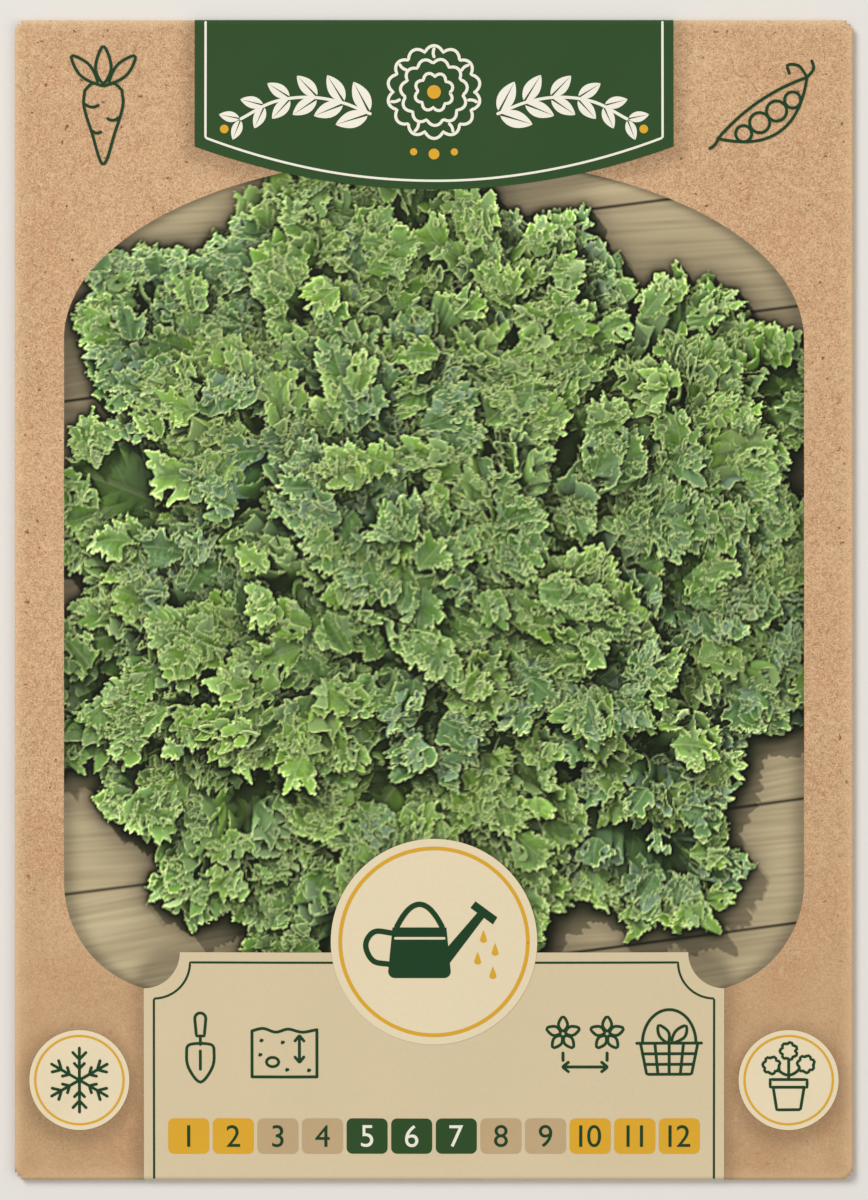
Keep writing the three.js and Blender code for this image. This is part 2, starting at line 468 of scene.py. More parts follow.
def divided(path, longest):
    """A line with no stretch longer than this, and with shorter ones where it runs over a fold."""
    parts = []
    for a, b in zip(path[:-1], path[1:]):
        over_fold = max(abs(a[1]), abs(b[1])) > FOLD_START
        steps = max(1, math.ceil(np.hypot(*(b - a)) / (FOLD_STRETCH if over_fold else longest)))
        parts.append(a + (b - a) * np.linspace(0, 1, steps, endpoint=False)[:, None])
    return np.vstack([*parts, path[-1:]])


def inside(points, outlines):
    """Which points lie in an odd number of the closed outlines."""
    odd = np.zeros(len(points), bool)
    for outline in outlines:
        for (ax, ay), (bx, by) in zip(outline, np.roll(outline, -1, axis=0)):
            if ay == by:
                continue
            crosses = (ay > points[:, 1]) != (by > points[:, 1])
            odd ^= crosses & (points[:, 0] < ax + (points[:, 1] - ay) * (bx - ax) / (by - ay))
    return odd


# Longest stretch of a fill's edge, room between it and the inner points, and least triangle
FILL_EDGE = 0.6
FILL_CLEARANCE = 0.32
SLIVER = 1e-6
SAME_PLACE = 1e-6


def filled(name, outlines, grid=None):
    """A flat mesh in metres that fills closed outlines, with inner points on the sheet's own grid."""
    outlines = [divided(loop(outline), FILL_EDGE)[:-1] for outline in outlines]
    edge_points = np.vstack(outlines)
    points, edges = [edge_points], []
    first = 0
    for outline in outlines:
        ring = np.arange(first, first + len(outline))
        edges += list(zip(ring.tolist(), np.roll(ring, -1).tolist()))
        first += len(outline)
    if grid is not None:
        low, high = edge_points.min(axis=0), edge_points.max(axis=0)
        near = grid[((grid > low) & (grid < high)).all(axis=1)]
        near = near[inside(near, outlines)]
        gaps = np.array([np.hypot(*(edge_points - p).T).min() for p in near])
        if len(near):
            points.append(near[gaps > FILL_CLEARANCE])
    points = np.vstack(points)
    made = delaunay_2d_cdt([Vector(p) for p in points], edges, [], 0, SAME_PLACE)
    corners = np.array([tuple(p) for p in made[0]])
    triangles = np.array(made[2])
    first, second, third = (corners[triangles[:, i]] for i in range(3))
    area = np.abs(np.cross(second - first, third - first)) / 2
    kept = triangles[inside((first + second + third) / 3, outlines) & (area > SLIVER)]
    flat = np.column_stack([corners * MM, np.zeros(len(corners))])
    used = np.unique(kept)
    renumbered = np.full(len(flat), -1)
    renumbered[used] = np.arange(len(used))
    return plain_mesh(name, flat[used], renumbered[kept])


def sheet_grid(shape):
    """The grid points of the sheet's front and of both end folds, in millimetres."""
    u = shape.front_lines(shape.half_width, shape.paper.corner_notch)
    v = shape.front_lines(shape.half_height, shape.paper.corner_notch)
    fold = shape.fold_lines(shape.half_height, shape.end_radius)[1:]
    v = np.concatenate([-fold[::-1], v, fold])
    return np.stack(np.meshgrid(u, v), axis=-1).reshape(-1, 2) / MM


# Node trees


def add_node(tree, kind, inputs=None, **options):
    """Adds a node with its options, and fills its inputs or links them to a node or to a socket.

    A node is linked by its first output, and a colour needs no alpha.
    """
    node = tree.nodes.new(kind)
    for name, value in options.items():
        setattr(node, name, value)
    for socket, value in (inputs or {}).items():
        if isinstance(value, bpy.types.Node):
            value = value.outputs[0]
        if isinstance(value, bpy.types.NodeSocket):
            tree.links.new(value, node.inputs[socket])
        elif node.inputs[socket].type == "RGBA":
            node.inputs[socket].default_value = (*value[:3], 1)
        else:
            node.inputs[socket].default_value = value
    return node


def new_geometry_tree(name, **inputs):
    """A Geometry Nodes tree with inputs of these names and kinds, and their sockets."""
    tree = bpy.data.node_groups.new(name, "GeometryNodeTree")
    tree.interface.new_socket("Geometry", in_out="INPUT", socket_type="NodeSocketGeometry")
    for label, kind in inputs.items():
        tree.interface.new_socket(label, in_out="INPUT", socket_type="NodeSocket" + kind)
    tree.interface.new_socket("Geometry", in_out="OUTPUT", socket_type="NodeSocketGeometry")
    return tree, tree.nodes.new("NodeGroupInput").outputs


def close_tree(tree, geometry, material):
    """Ends a tree in real geometry that carries its material."""
    real = add_node(tree, "GeometryNodeRealizeInstances", {0: geometry})
    painted = add_node(tree, "GeometryNodeSetMaterial", {"Geometry": real, "Material": material})
    add_node(tree, "NodeGroupOutput", {0: painted})


def lifted(tree, instances, height):
    """Sets instances this much higher."""
    offset = add_node(tree, "ShaderNodeCombineXYZ", {"Z": height})
    values = {"Instances": instances, "Translation": offset}
    return add_node(tree, "GeometryNodeTranslateInstances", values)


def grown(source, tree, values):
    """The plain mesh that a Geometry Nodes tree makes of an object, with its inputs set."""
    modifier = source.modifiers.new(tree.name, "NODES")
    modifier.node_group = tree
    sockets = {item.name: item.identifier for item in tree.interface.items_tree if item.in_out == "INPUT"}
    for label, value in values.items():
        modifier[sockets[label]] = value
    mesh = evaluated_mesh(source)
    bpy.data.node_groups.remove(tree)
    return mesh


DOT_CORNERS = 12


def line_art_tree():
    """Turns drawn lines into flat strokes with round ends, each a hair higher than the last."""
    tree, given = new_geometry_tree(
        "Line art", Width="Float", Spacing="Float", Hair="Float", Ink="Material"
    )
    values = {"Curve": given["Geometry"], "Length": given["Spacing"]}
    even = add_node(tree, "GeometryNodeResampleCurve", values, mode="LENGTH")
    upright = add_node(tree, "GeometryNodeSetCurveNormal", {"Curve": even}, mode="Z_UP")
    order = add_node(tree, "GeometryNodeInputIndex")
    stroke = add_node(tree, "GeometryNodeFieldOnDomain", {0: order}, data_type="INT", domain="CURVE")
    height = add_node(tree, "ShaderNodeMath", {0: stroke, 1: given["Hair"]}, operation="MULTIPLY")
    offset = add_node(tree, "ShaderNodeCombineXYZ", {"Z": height})
    stacked = add_node(tree, "GeometryNodeSetPosition", {"Geometry": upright, "Offset": offset})
    half = add_node(tree, "ShaderNodeMath", {0: given["Width"], 1: 0.5}, operation="MULTIPLY")
    other_half = add_node(tree, "ShaderNodeMath", {0: given["Width"], 1: -0.5}, operation="MULTIPLY")
    from_side = add_node(tree, "ShaderNodeCombineXYZ", {"X": other_half})
    to_side = add_node(tree, "ShaderNodeCombineXYZ", {"X": half})
    section = add_node(tree, "GeometryNodeCurvePrimitiveLine", {"Start": from_side, "End": to_side})
    ribbon = add_node(tree, "GeometryNodeCurveToMesh", {"Curve": stacked, "Profile Curve": section})
    ends = add_node(tree, "GeometryNodeCurveEndpointSelection")
    values = {"Vertices": DOT_CORNERS, "Radius": half}
    dot = add_node(tree, "GeometryNodeMeshCircle", values, fill_type="TRIANGLE_FAN")
    over = add_node(tree, "ShaderNodeMath", {0: given["Hair"], 1: 0.5}, operation="MULTIPLY")
    caps = add_node(
        tree, "GeometryNodeInstanceOnPoints", {"Points": stacked, "Selection": ends, "Instance": dot}
    )
    joined = add_node(tree, "GeometryNodeJoinGeometry", {0: lifted(tree, caps, over)})
    tree.links.new(ribbon.outputs[0], joined.inputs[0])
    close_tree(tree, joined, given["Ink"])
    return tree


def drawn_lines(name, paths):
    """A curve object with one straight-sided spline for each flat line."""
    data = bpy.data.curves.new(name, "CURVE")
    data.dimensions = "3D"
    for path in paths:
        is_closed = np.hypot(*(path[0] - path[-1])) < SAME_PLACE
        points = path[:-1] if is_closed else path
        spline = data.splines.new("POLY")
        spline.points.add(len(points) - 1)
        for point, (x, y) in zip(spline.points, points * MM):
            point.co = (x, y, 0, 1)
        spline.use_cyclic_u = bool(is_closed)
    return new_object(name, data)


STROKE_SPACING = 0.35 * MM
STROKE_HAIR = 0.002 * MM


def strokes(name, paths, width, ink, shape, layer):
    """A line drawing in one ink, laid on the packet."""
    values = {"Width": width * MM, "Spacing": STROKE_SPACING, "Hair": STROKE_HAIR, "Ink": ink}
    mesh = grown(drawn_lines(name, paths), line_art_tree(), values)
    piece(name, lay_on_packet(mesh, shape, layer), ink)


def patch(name, outlines, ink, shape, layer):
    """A solid print, laid on the packet."""
    mesh = filled(name, outlines, sheet_grid(shape))
    piece(name, lay_on_packet(mesh, shape, layer), ink)


def copies_tree():
    """Sets copies of a flat shape in a row."""
    tree, given = new_geometry_tree(
        "Row of copies", Copy="Object", Count="Int", Start="Vector", Pitch="Vector", Ink="Material"
    )
    values = {"Count": given["Count"], "Start Location": given["Start"], "Offset": given["Pitch"]}
    row = add_node(tree, "GeometryNodeMeshLine", values, mode="OFFSET")
    shape = add_node(tree, "GeometryNodeObjectInfo", {"Object": given["Copy"]})
    placed = add_node(
        tree, "GeometryNodeInstanceOnPoints", {"Points": row, "Instance": shape.outputs["Geometry"]}
    )
    close_tree(tree, placed, given["Ink"])
    return tree


TIP_LEAF = 0.62


def sprig_tree():
    """Sets pairs of leaves along a stem, smaller towards its tip."""
    tree, given = new_geometry_tree(
        "Sprig", Leaf="Object", Count="Int", Spread="Float", Hair="Float", Ink="Material"
    )
    values = {"Curve": given["Geometry"], "Count": given["Count"]}
    stations = add_node(tree, "GeometryNodeCurveToPoints", values, mode="COUNT")
    leaf = add_node(tree, "GeometryNodeObjectInfo", {"Object": given["Leaf"]})
    order = add_node(tree, "GeometryNodeInputIndex")
    last = add_node(tree, "ShaderNodeMath", {0: given["Count"], 1: 1.0}, operation="SUBTRACT")
    share = add_node(tree, "ShaderNodeMath", {0: order, 1: last}, operation="DIVIDE")
    scale = add_node(tree, "ShaderNodeMapRange", {"Value": share, "To Min": 1.0, "To Max": TIP_LEAF})
    along = add_node(tree, "ShaderNodeSeparateXYZ", {0: stations.outputs["Tangent"]})
    heading = add_node(
        tree, "ShaderNodeMath", {0: along.outputs["Y"], 1: along.outputs["X"]}, operation="ARCTAN2"
    )
    values = {0: order, 1: given["Hair"], 2: given["Hair"]}
    height = add_node(tree, "ShaderNodeMath", values, operation="MULTIPLY_ADD")
    joined = add_node(tree, "GeometryNodeJoinGeometry")
    for side in (1, -1):
        lean = add_node(tree, "ShaderNodeMath", {0: given["Spread"], 1: float(side)}, operation="MULTIPLY")
        turn = add_node(tree, "ShaderNodeMath", {0: heading, 1: lean}, operation="ADD")
        rotation = add_node(tree, "ShaderNodeCombineXYZ", {"Z": turn})
        values = {"Points": stations, "Instance": leaf.outputs["Geometry"]}
        values |= {"Rotation": rotation, "Scale": scale}
        leaves = add_node(tree, "GeometryNodeInstanceOnPoints", values)
        tree.links.new(lifted(tree, leaves, height).outputs[0], joined.inputs[0])
    close_tree(tree, joined, given["Ink"])
    return tree


BED_CORNERS = 48
SMALLEST_SEED = 0.86
# Places offered on each square metre, of which those too near another are dropped
OFFERED = 3e6


def seed_bed_tree():
    """Scatters round seeds over an oval bed, none too near another."""
    tree, given = new_geometry_tree(
        "Seed bed",
        Bed="Vector",
        Middle="Vector",
        Diameter="Float",
        Spacing="Float",
        Draw="Int",
        Coat="Material",
    )
    disc = add_node(
        tree, "GeometryNodeMeshCircle", {"Vertices": BED_CORNERS, "Radius": 1.0}, fill_type="NGON"
    )
    values = {"Geometry": disc, "Translation": given["Middle"], "Scale": given["Bed"]}
    bed = add_node(tree, "GeometryNodeTransform", values)
    values = {"Mesh": bed, "Distance Min": given["Spacing"], "Density Max": OFFERED, "Seed": given["Draw"]}
    places = add_node(
        tree, "GeometryNodeDistributePointsOnFaces", values, distribute_method="POISSON"
    )
    radius = add_node(tree, "ShaderNodeMath", {0: given["Diameter"], 1: 0.5}, operation="MULTIPLY")
    ball = add_node(tree, "GeometryNodeMeshIcoSphere", {"Radius": radius, "Subdivisions": 2})
    values = {"Min": SMALLEST_SEED, "Max": 1.0, "Seed": given["Draw"]}
    uneven = add_node(tree, "FunctionNodeRandomValue", values, data_type="FLOAT")
    values = {0: (0, 0, 0), 1: (math.tau, math.tau, math.tau), "Seed": given["Draw"]}
    tumble = add_node(tree, "FunctionNodeRandomValue", values, data_type="FLOAT_VECTOR")
    values = {"Points": places, "Instance": ball, "Rotation": tumble, "Scale": uneven.outputs[1]}
    seeds = add_node(tree, "GeometryNodeInstanceOnPoints", values)
    close_tree(tree, seeds, given["Coat"])
    return tree


# Materials


def new_material(name):
    """An empty node material with its shader, and the object coordinates that its patterns read."""
    material = bpy.data.materials.new(name)
    material.use_nodes = True
    tree = material.node_tree
    shader = tree.nodes["Principled BSDF"]
    place = add_node(tree, "ShaderNodeTexCoord").outputs["Object"]
    return material, tree, shader, place


# Height of the fine relief that a bump shows
RELIEF = 0.02 * MM


def finish(tree, shader, tone, roughness, gloss=0.5, relief=None, strength=0.0):
    """Gives a shader its colour, roughness and gloss, and its fine relief if it has any."""
    tree.links.new(tone, shader.inputs["Base Color"])
    shader.inputs["Roughness"].default_value = roughness
    shader.inputs["Specular IOR Level"].default_value = gloss
    if relief is not None:
        values = {"Height": relief, "Strength": strength, "Distance": RELIEF}
        bump = add_node(tree, "ShaderNodeBump", values)
        tree.links.new(bump.outputs[0], shader.inputs["Normal"])


def fibres(tree, place, turn, length, width, low, high):
    """Streaks of this length and width in metres, turned by this many degrees: 1 on a streak."""
    turned = add_node(
        tree,
        "ShaderNodeMapping",
        {"Vector": place, "Rotation": (0, 0, math.radians(turn)), "Scale": (length, width, width)},
        vector_type="TEXTURE",
    )
    streaks = add_node(
        tree, "ShaderNodeTexNoise", {"Vector": turned, "Scale": 1.0, "Detail": 1.5, "Distortion": 0.6}
    )
    return add_node(tree, "ShaderNodeMapRange", {"Value": streaks, "From Min": low, "From Max": high})


def hairs(tree, place, curl, width, low):
    """Long thin curling fibres, broken into stretches: 1 on a fibre."""
    bends = add_node(tree, "ShaderNodeTexNoise", {"Vector": place, "Scale": 1 / curl, "Detail": 1.0})
    from_line = add_node(tree, "ShaderNodeMath", {0: bends, 1: 0.5}, operation="SUBTRACT")
    away = add_node(tree, "ShaderNodeMath", {0: from_line}, operation="ABSOLUTE")
    values = {"Value": away, "From Max": 0.5 * width / curl, "To Min": 1.0, "To Max": 0.0}
    on_line = add_node(tree, "ShaderNodeMapRange", values)
    stretch = add_node(tree, "ShaderNodeTexNoise", {"Vector": place, "Scale": 1.7 / curl, "Detail": 0.0})
    kept = add_node(
        tree, "ShaderNodeMapRange", {"Value": stretch, "From Min": low, "From Max": low + 0.05}
    )
    return add_node(tree, "ShaderNodeMath", {0: on_line, 1: kept}, operation="MULTIPLY")


def patches(tree, place, patch_size, detail, low, high):
    """Soft patches of about this size in metres: 0 where the noise is low, 1 where it is high."""
    values = {"Vector": place, "Scale": 1 / patch_size, "Detail": detail}
    noise = add_node(tree, "ShaderNodeTexNoise", values)
    return add_node(tree, "ShaderNodeMapRange", {"Value": noise, "From Min": low, "From Max": high})


def print_grain(tree, place):
    """The paper's fibres as they stand through a layer of ink."""
    return fibres(tree, place, 30, 1.2 * MM, 0.25 * MM, 0.4, 0.75)


# Which way the fibres run, in degrees, and how much the pale ones are turned against the dark ones
FIBRE_TURNS, PALE_TURN = (8, 47, 83, 121, 158), 19
# Heights between which the flat tone over the packet's foot ends, and what shows through it
SMOOTH_FOOT, COARSE_TOP, FOOT_SHOWS = -58 * MM, -24 * MM, 0.3


def kraft_paper(paper):
    """Unbleached sulphate paper, uncoated and pressed: a warm tan mat of fine crossing fibres.

    The eye sees short pale and dark fibres in all directions, a few long hairs and bark specks,
    soft clouds of pulp and hardly any gloss. Real fibres are 1 to 3 mm long and 0.03 mm wide;
    they are drawn up to 0.2 mm wide, so that they show at this distance. A flat tone printed over
    the packet's foot hides most of them there.
    """
    material, tree, shader, place = new_material("kraft_paper")
    height = add_node(tree, "ShaderNodeSeparateXYZ", {0: place}).outputs["Y"]
    values = {"Value": height, "From Min": 0.9 * ENVELOPE_LOW.y, "From Max": 0.1 * ENVELOPE_LOW.y}
    rise = add_node(tree, "ShaderNodeMapRange", values)
    values = {"Value": height, "From Min": SMOOTH_FOOT, "From Max": COARSE_TOP, "To Min": FOOT_SHOWS}
    coarse = add_node(tree, "ShaderNodeMapRange", values)
    dark = pale = 0.0
    for turn in FIBRE_TURNS:
        dark_streaks = fibres(tree, place, turn, 0.95 * MM, 0.16 * MM, 0.555, 0.71)
        pale_streaks = fibres(tree, place, turn + PALE_TURN, 0.85 * MM, 0.15 * MM, 0.565, 0.71)
        dark = add_node(tree, "ShaderNodeMath", {0: dark, 1: dark_streaks}, operation="MAXIMUM")
        pale = add_node(tree, "ShaderNodeMath", {0: pale, 1: pale_streaks}, operation="MAXIMUM")
    worn_and_lit = add_node(tree, "ShaderNodeAttribute", attribute_name="fold_wear_and_highlight").outputs["Fac"]
    shade = add_node(tree, "ShaderNodeAttribute", attribute_name="printed_shade").outputs["Fac"]
    tone = add_node(
        tree, "ShaderNodeMix", {0: rise, 6: paper.bottom_tone, 7: paper.top_tone}, data_type="RGBA"
    ).outputs[2]
    # What shows, how strongly, whether the tone over the foot hides it, and its colour
    for share, strength, fades, over in (
        (patches(tree, place, 13 * MM, 5.0, 0.42, 0.72), 0.5, False, linear("#b98a64")),
        (patches(tree, place, 7 * MM, 5.0, 0.45, 0.75), 0.4, False, linear("#dcb891")),
        (patches(tree, place, 3.2 * MM, 3.0, 0.48, 0.7), 0.3, True, linear("#d99a70")),
        (patches(tree, place, 0.24 * MM, 2.0, 0.5, 0.75), 0.55, True, paper.dark_fibre),
        (patches(tree, place, 0.24 * MM, 2.0, 0.5, 0.25), 0.6, True, paper.pale_fibre),
        (dark, 0.6, True, paper.dark_fibre),
        (pale, 0.66, True, paper.pale_fibre),
        (hairs(tree, place, 3.1 * MM, 0.12 * MM, 0.58), 0.5, True, paper.pale_fibre),
        (hairs(tree, place, 4.3 * MM, 0.11 * MM, 0.6), 0.5, True, paper.dark_fibre),
        (patches(tree, place, 0.75 * MM, 0.5, 0.765, 0.79), 0.75, True, linear("#6b4228")),
        # Paler fold crowns: partly crease-whitened fibres, partly a painted highlight along each fold
        (worn_and_lit, 0.4, False, paper.pale_fibre),
        (shade, 1.0, False, linear("#4a3520")),
    ):
        amount = add_node(tree, "ShaderNodeMath", {0: share, 1: strength}, operation="MULTIPLY")
        if fades:
            amount = add_node(tree, "ShaderNodeMath", {0: amount, 1: coarse}, operation="MULTIPLY")
        tone = add_node(tree, "ShaderNodeMix", {0: amount, 6: tone, 7: over}, data_type="RGBA").outputs[2]
    relief = add_node(tree, "ShaderNodeMath", {0: pale, 1: dark}, operation="SUBTRACT")
    finish(tree, shader, tone, 0.88, 0.25, relief, 0.3)
    return material


INK_MOTTLE = 0.97


def ink(name, tone):
    """Offset ink on kraft paper: matt, even from a step away, with the fibres just showing."""
    material, tree, shader, place = new_material(name)
    mottle = patches(tree, place, 0.5 * MM, 3.0, 0.4, 0.75)
    deeper = [c * INK_MOTTLE for c in tone]
    mottled = add_node(tree, "ShaderNodeMix", {0: mottle, 6: tone, 7: deeper}, data_type="RGBA")
    finish(tree, shader, mottled.outputs[2], 0.62, 0.2, print_grain(tree, place), 0.2)
    return material


def picture_ink():
    """Four-colour offset print on kraft paper: matt, with the picture held in the mesh's colours."""
    material, tree, shader, place = new_material("picture_print")
    picture = add_node(tree, "ShaderNodeAttribute", attribute_name="picture").outputs["Color"]
    finish(tree, shader, picture, 0.6, 0.15, print_grain(tree, place), 0.15)
    return material


def seed_coat(seeds):
    """Dry brassica seed: a hard brown coat, finely pitted, with a faint waxy gloss."""
    material, tree, shader, place = new_material("seed_coat")
    darker = patches(tree, place, 2.4 * MM, 3.0, 0.35, 0.65)
    values = {0: darker, 6: seeds.coat, 7: seeds.coat_dark}
    coat = add_node(tree, "ShaderNodeMix", values, data_type="RGBA")
    pits = add_node(tree, "ShaderNodeTexVoronoi", {"Vector": place, "Scale": 1 / (0.16 * MM)})
    finish(tree, shader, coat.outputs[2], 0.5, relief=pits.outputs["Distance"], strength=0.4)
    return material


FLOOR_CLOUDS = 0.985


def studio_floor(stage):
    """Matt white-painted board: plain and pale, with the faintest unevenness."""
    material, tree, shader, place = new_material("studio_floor")
    clouds = patches(tree, place, 330 * MM, 2.0, 0.3, 0.7)
    duller = [c * FLOOR_CLOUDS for c in stage.floor]
    board = add_node(tree, "ShaderNodeMix", {0: clouds, 6: stage.floor, 7: duller}, data_type="RGBA")
    finish(tree, shader, board.outputs[2], 0.8)
    return material


# The packet's paper

# Darkness of a printed soft shadow beside its panel, its reach and its shift, in millimetres
SHADE, SHADE_REACH = 0.34, 1.7
SHADE_SHIFT = np.array([0.0, -0.7])
PLAQUE_SHADE_CORNER = 4
# How far a print runs round an end fold
PRINT_BLEED = 3.2


def shade_near(distance):
    """How dark a printed soft shadow is at this distance in millimetres outside a panel."""
    return SHADE * np.exp(-((np.maximum(distance, 0) / SHADE_REACH) ** 2))


def box_distance(points, left, right, low, high, corner):
    """Distance outside a box with rounded corners, in millimetres, and below 0 inside it."""
    middle = np.array([(left + right) / 2, (low + high) / 2])
    half = np.array([(right - left) / 2, (high - low) / 2]) - corner
    reach = np.abs(points - middle) - half
    outside = np.hypot(*np.maximum(reach, 0).T)
    return outside + np.minimum(reach.max(axis=1), 0) - corner


def printed_shade(points, design):
    """Darkness of the printed shadows of the header, plaque, badge and discs at these places."""
    points = points - SHADE_SHIFT
    top = ENVELOPE_HIGH.y / MM
    half, edge = design.header_half_width / MM, design.header_edge / MM
    header = box_distance(points, -half, half, edge, 2 * top, 0)
    sag = edge - design.header_low / MM
    across = np.clip(points[:, 0] / half, -1, 1)
    header = header - np.where(points[:, 1] < edge, sag * (1 - across**2), 0)
    half = design.plaque_half_width / MM
    plaque = box_distance(points, -half, half, -2 * top, design.plaque_top / MM, PLAQUE_SHADE_CORNER)
    badge = np.hypot(points[:, 0], points[:, 1] - design.badge_y / MM) - design.badge_radius / MM
    from_disc = np.abs(points[:, 0]) - design.disc_x / MM
    discs = np.hypot(from_disc, points[:, 1] - design.disc_y / MM) - design.disc_radius / MM
    on_front = 1 - smooth(top, top + PRINT_BLEED, np.abs(points[:, 1]))
    return on_front * shade_near(np.minimum.reduce([header, plaque, badge, discs]))


def folded_sheet(shape):
    """The blank's middle surface, folded: grids of the front, the back panels and the flaps, merged."""
    paper = shape.paper
    front_u = shape.front_lines(shape.half_width, paper.corner_notch)
    front_v = shape.front_lines(shape.half_height, paper.corner_notch)
    fold_u = shape.fold_lines(shape.half_width, shape.side_radius)
    fold_v = shape.fold_lines(shape.half_height, shape.end_radius)

    def onto_back(fold, length):
        steps = round(length / BACK_CELL)
        return np.concatenate([fold, np.linspace(fold[-1], fold[-1] + length, steps + 1)[1:]])

    back_u = onto_back(fold_u, shape.half_width + paper.seam_overlap / 2)
    panels = [
        (front_u, front_v),
        (-back_u[::-1], front_v[1:-1]),
        (back_u, front_v[1:-1]),
        (front_u[1:-1], onto_back(fold_v, paper.top_flap)),
        (front_u[1:-1], -onto_back(fold_v, paper.bottom_flap)[::-1]),
    ]
    places, faces = [], []
    for u, v in panels:
        first = sum(len(p) for p in places)
        places.append(np.stack(np.meshgrid(u, v), axis=-1).reshape(-1, 2))
        faces.append(grid_faces(len(v), len(u)) + first)
    blank = np.vstack(places)
    keys = np.round(blank * 1e7).astype(np.int64)
    _, kept, back_to = np.unique(keys, axis=0, return_index=True, return_inverse=True)
    return blank[kept], back_to.ravel()[np.vstack(faces)]


# How far the paper is made paler on each side of a fold's crown: partly crease-whitened fibres, partly a
# painted highlight along the fold
FOLD_PALE_REACH = 0.9 * MM


def build_paper():
    """One kraft blank, folded and glued, with rounded folds and a soft, slightly buckled front."""
    packet = settings()
    shape = PacketShape(packet.paper)
    blank, faces = folded_sheet(shape)
    mesh = plain_mesh("packet_paper", shape.place(blank[:, 0], blank[:, 1]), faces)
    crowns = [shape.half_width + shape.side_radius, shape.half_height + shape.end_radius]
    # Paler along each fold's crown: partly crease-whitened fibres, partly a painted highlight
    fold_paling = np.exp(-(((np.abs(blank) - crowns) / FOLD_PALE_REACH) ** 2)).max(axis=1)
    fold_paling_store = mesh.attributes.new("fold_wear_and_highlight", "FLOAT", "POINT")
    fold_paling_store.data.foreach_set("value", fold_paling.astype(np.float32))
    shade = mesh.attributes.new("printed_shade", "FLOAT", "POINT")
    shade.data.foreach_set("value", printed_shade(blank / MM, packet.print).astype(np.float32))
    sheet = new_object("sheet", mesh)
    wall = sheet.modifiers.new("Paper", "SOLIDIFY")
    wall.thickness = packet.paper.thickness
    wall.offset = 0
    solid = evaluated_mesh(sheet)
    solid.name = "packet_paper"
    solid.shade_smooth()
    piece("packet_paper", solid, kraft_paper(packet.paper), ["envelope"])


# The seeds


def build_seeds():
    """Loose round brown seeds that lie low in the packet."""
    seeds = settings().seeds
    coat = seed_coat(seeds)
    middle = (SEEDS_LOW + SEEDS_HIGH) / 2
    bed = (SEEDS_HIGH - SEEDS_LOW) / 2
    carrier = new_object("seed_bed", bpy.data.meshes.new("seed_bed"))
    values = {
        "Bed": (bed.x - seeds.diameter / 2, bed.y - seeds.diameter / 2, 1.0),
        "Middle": tuple(middle),
        "Diameter": seeds.diameter,
        "Spacing": seeds.spacing,
        "Draw": seeds.draw,
        "Coat": coat,
    }
    mesh = grown(carrier, seed_bed_tree(), values)
    mesh.shade_smooth()
    piece("packet_seeds", mesh, coat, ["seeds"])


# The printed picture


def spline_weights(spans, places):
    """Weights of the knots of an even cubic spline, one row for each place from 0 to 1."""
    at = np.clip(places, 0, 0.99999) * spans
    knot = at.astype(int)
    t = at - knot
    weights = np.zeros((len(places), spans + 3), np.float32)
    row = np.arange(len(places))
    basis = ((1 - t) ** 3, 3 * t**3 - 6 * t**2 + 4, -3 * t**3 + 3 * t**2 + 3 * t + 1, t**3)
    for i, weight in enumerate(basis):
        weights[row, knot + i] = weight / 6
    return weights


# Brings a spline through normal random knots to about unit swing
KNOT_SWING = 1.8


def wander(rng, places, spans):
    """A smooth random line as a column, with about unit swing."""
    spans = max(3, int(spans))
    knots = KNOT_SWING * rng.normal(size=spans + 3)
    return (spline_weights(spans, places) @ knots)[:, None].astype(np.float32)


def crumple(rng, along, across, spans_along, spans_across, fields):
    """Smooth random fields over a leaf, with about unit swing."""
    rows = spline_weights(max(3, int(spans_along)), along)
    columns = spline_weights(max(3, int(spans_across)), across)
    knots = KNOT_SWING * rng.normal(size=(fields, rows.shape[1], columns.shape[1])).astype(np.float32)
    return [rows @ field @ columns.T for field in knots]


def box_blur(field, reach):
    """A field blurred twice over this many cells each way."""
    for axis in (0, 1, 0, 1):
        pad = [(0, 0), (0, 0)]
        pad[axis] = (reach + 1, reach)
        total = np.cumsum(np.pad(field, pad, mode="edge"), axis=axis, dtype=np.float64)
        ahead = np.take(total, range(2 * reach + 1, total.shape[axis]), axis=axis)
        behind = np.take(total, range(0, total.shape[axis] - 2 * reach - 1), axis=axis)
        field = (ahead - behind) / (2 * reach + 1)
    return field


NEIGHBOURS = [(x, y) for x in (-1, 0, 1) for y in (-1, 0, 1) if (x, y) != (0, 0)]
# Face and back of the leaves
LEAF_TONES = [
    ("#698a3c", "#86a265"),
    ("#72923d", "#8fa967"),
    ("#5e7f3f", "#7c9969"),
    ("#7b9b45", "#96b06b"),
    ("#5d7e47", "#84a082"),
    ("#688940", "#87a367"),
]


def sampled(grid, row, column):
    """A grid's values, blended between its cells, at any rows and columns."""
    row = np.clip(row, 0, grid.shape[0] - 1.001)
    column = np.clip(column, 0, grid.shape[1] - 1.001)
    i, j = row.astype(int), column.astype(int)
    s, t = row - i, column - j
    if grid.ndim == 3:
        s, t = s[..., None], t[..., None]
    lower = grid[i, j] * (1 - t) + grid[i, j + 1] * t
    upper = grid[i + 1, j] * (1 - t) + grid[i + 1, j + 1] * t
    return lower * (1 - s) + upper * s


class Curl(NamedTuple):
    """How a leaf, or a lobe of its margin, is curled."""

    frills: tuple  # Spacing, crowding along the margin, where it starts, swing and lift of each
    steepness: float  # How far the frills stand up
    crumple: float  # Depth of the fine crumples
    fold: float  # Depth of the fold along the rib
    arch: float  # Height of the rib's arch
    tooth: float  # Size of the margin's teeth
    stalk: tuple  # Where the blade starts and where it is full, as shares of the length
    rib: tuple  # How far from the rib its pale tone starts and ends to fade


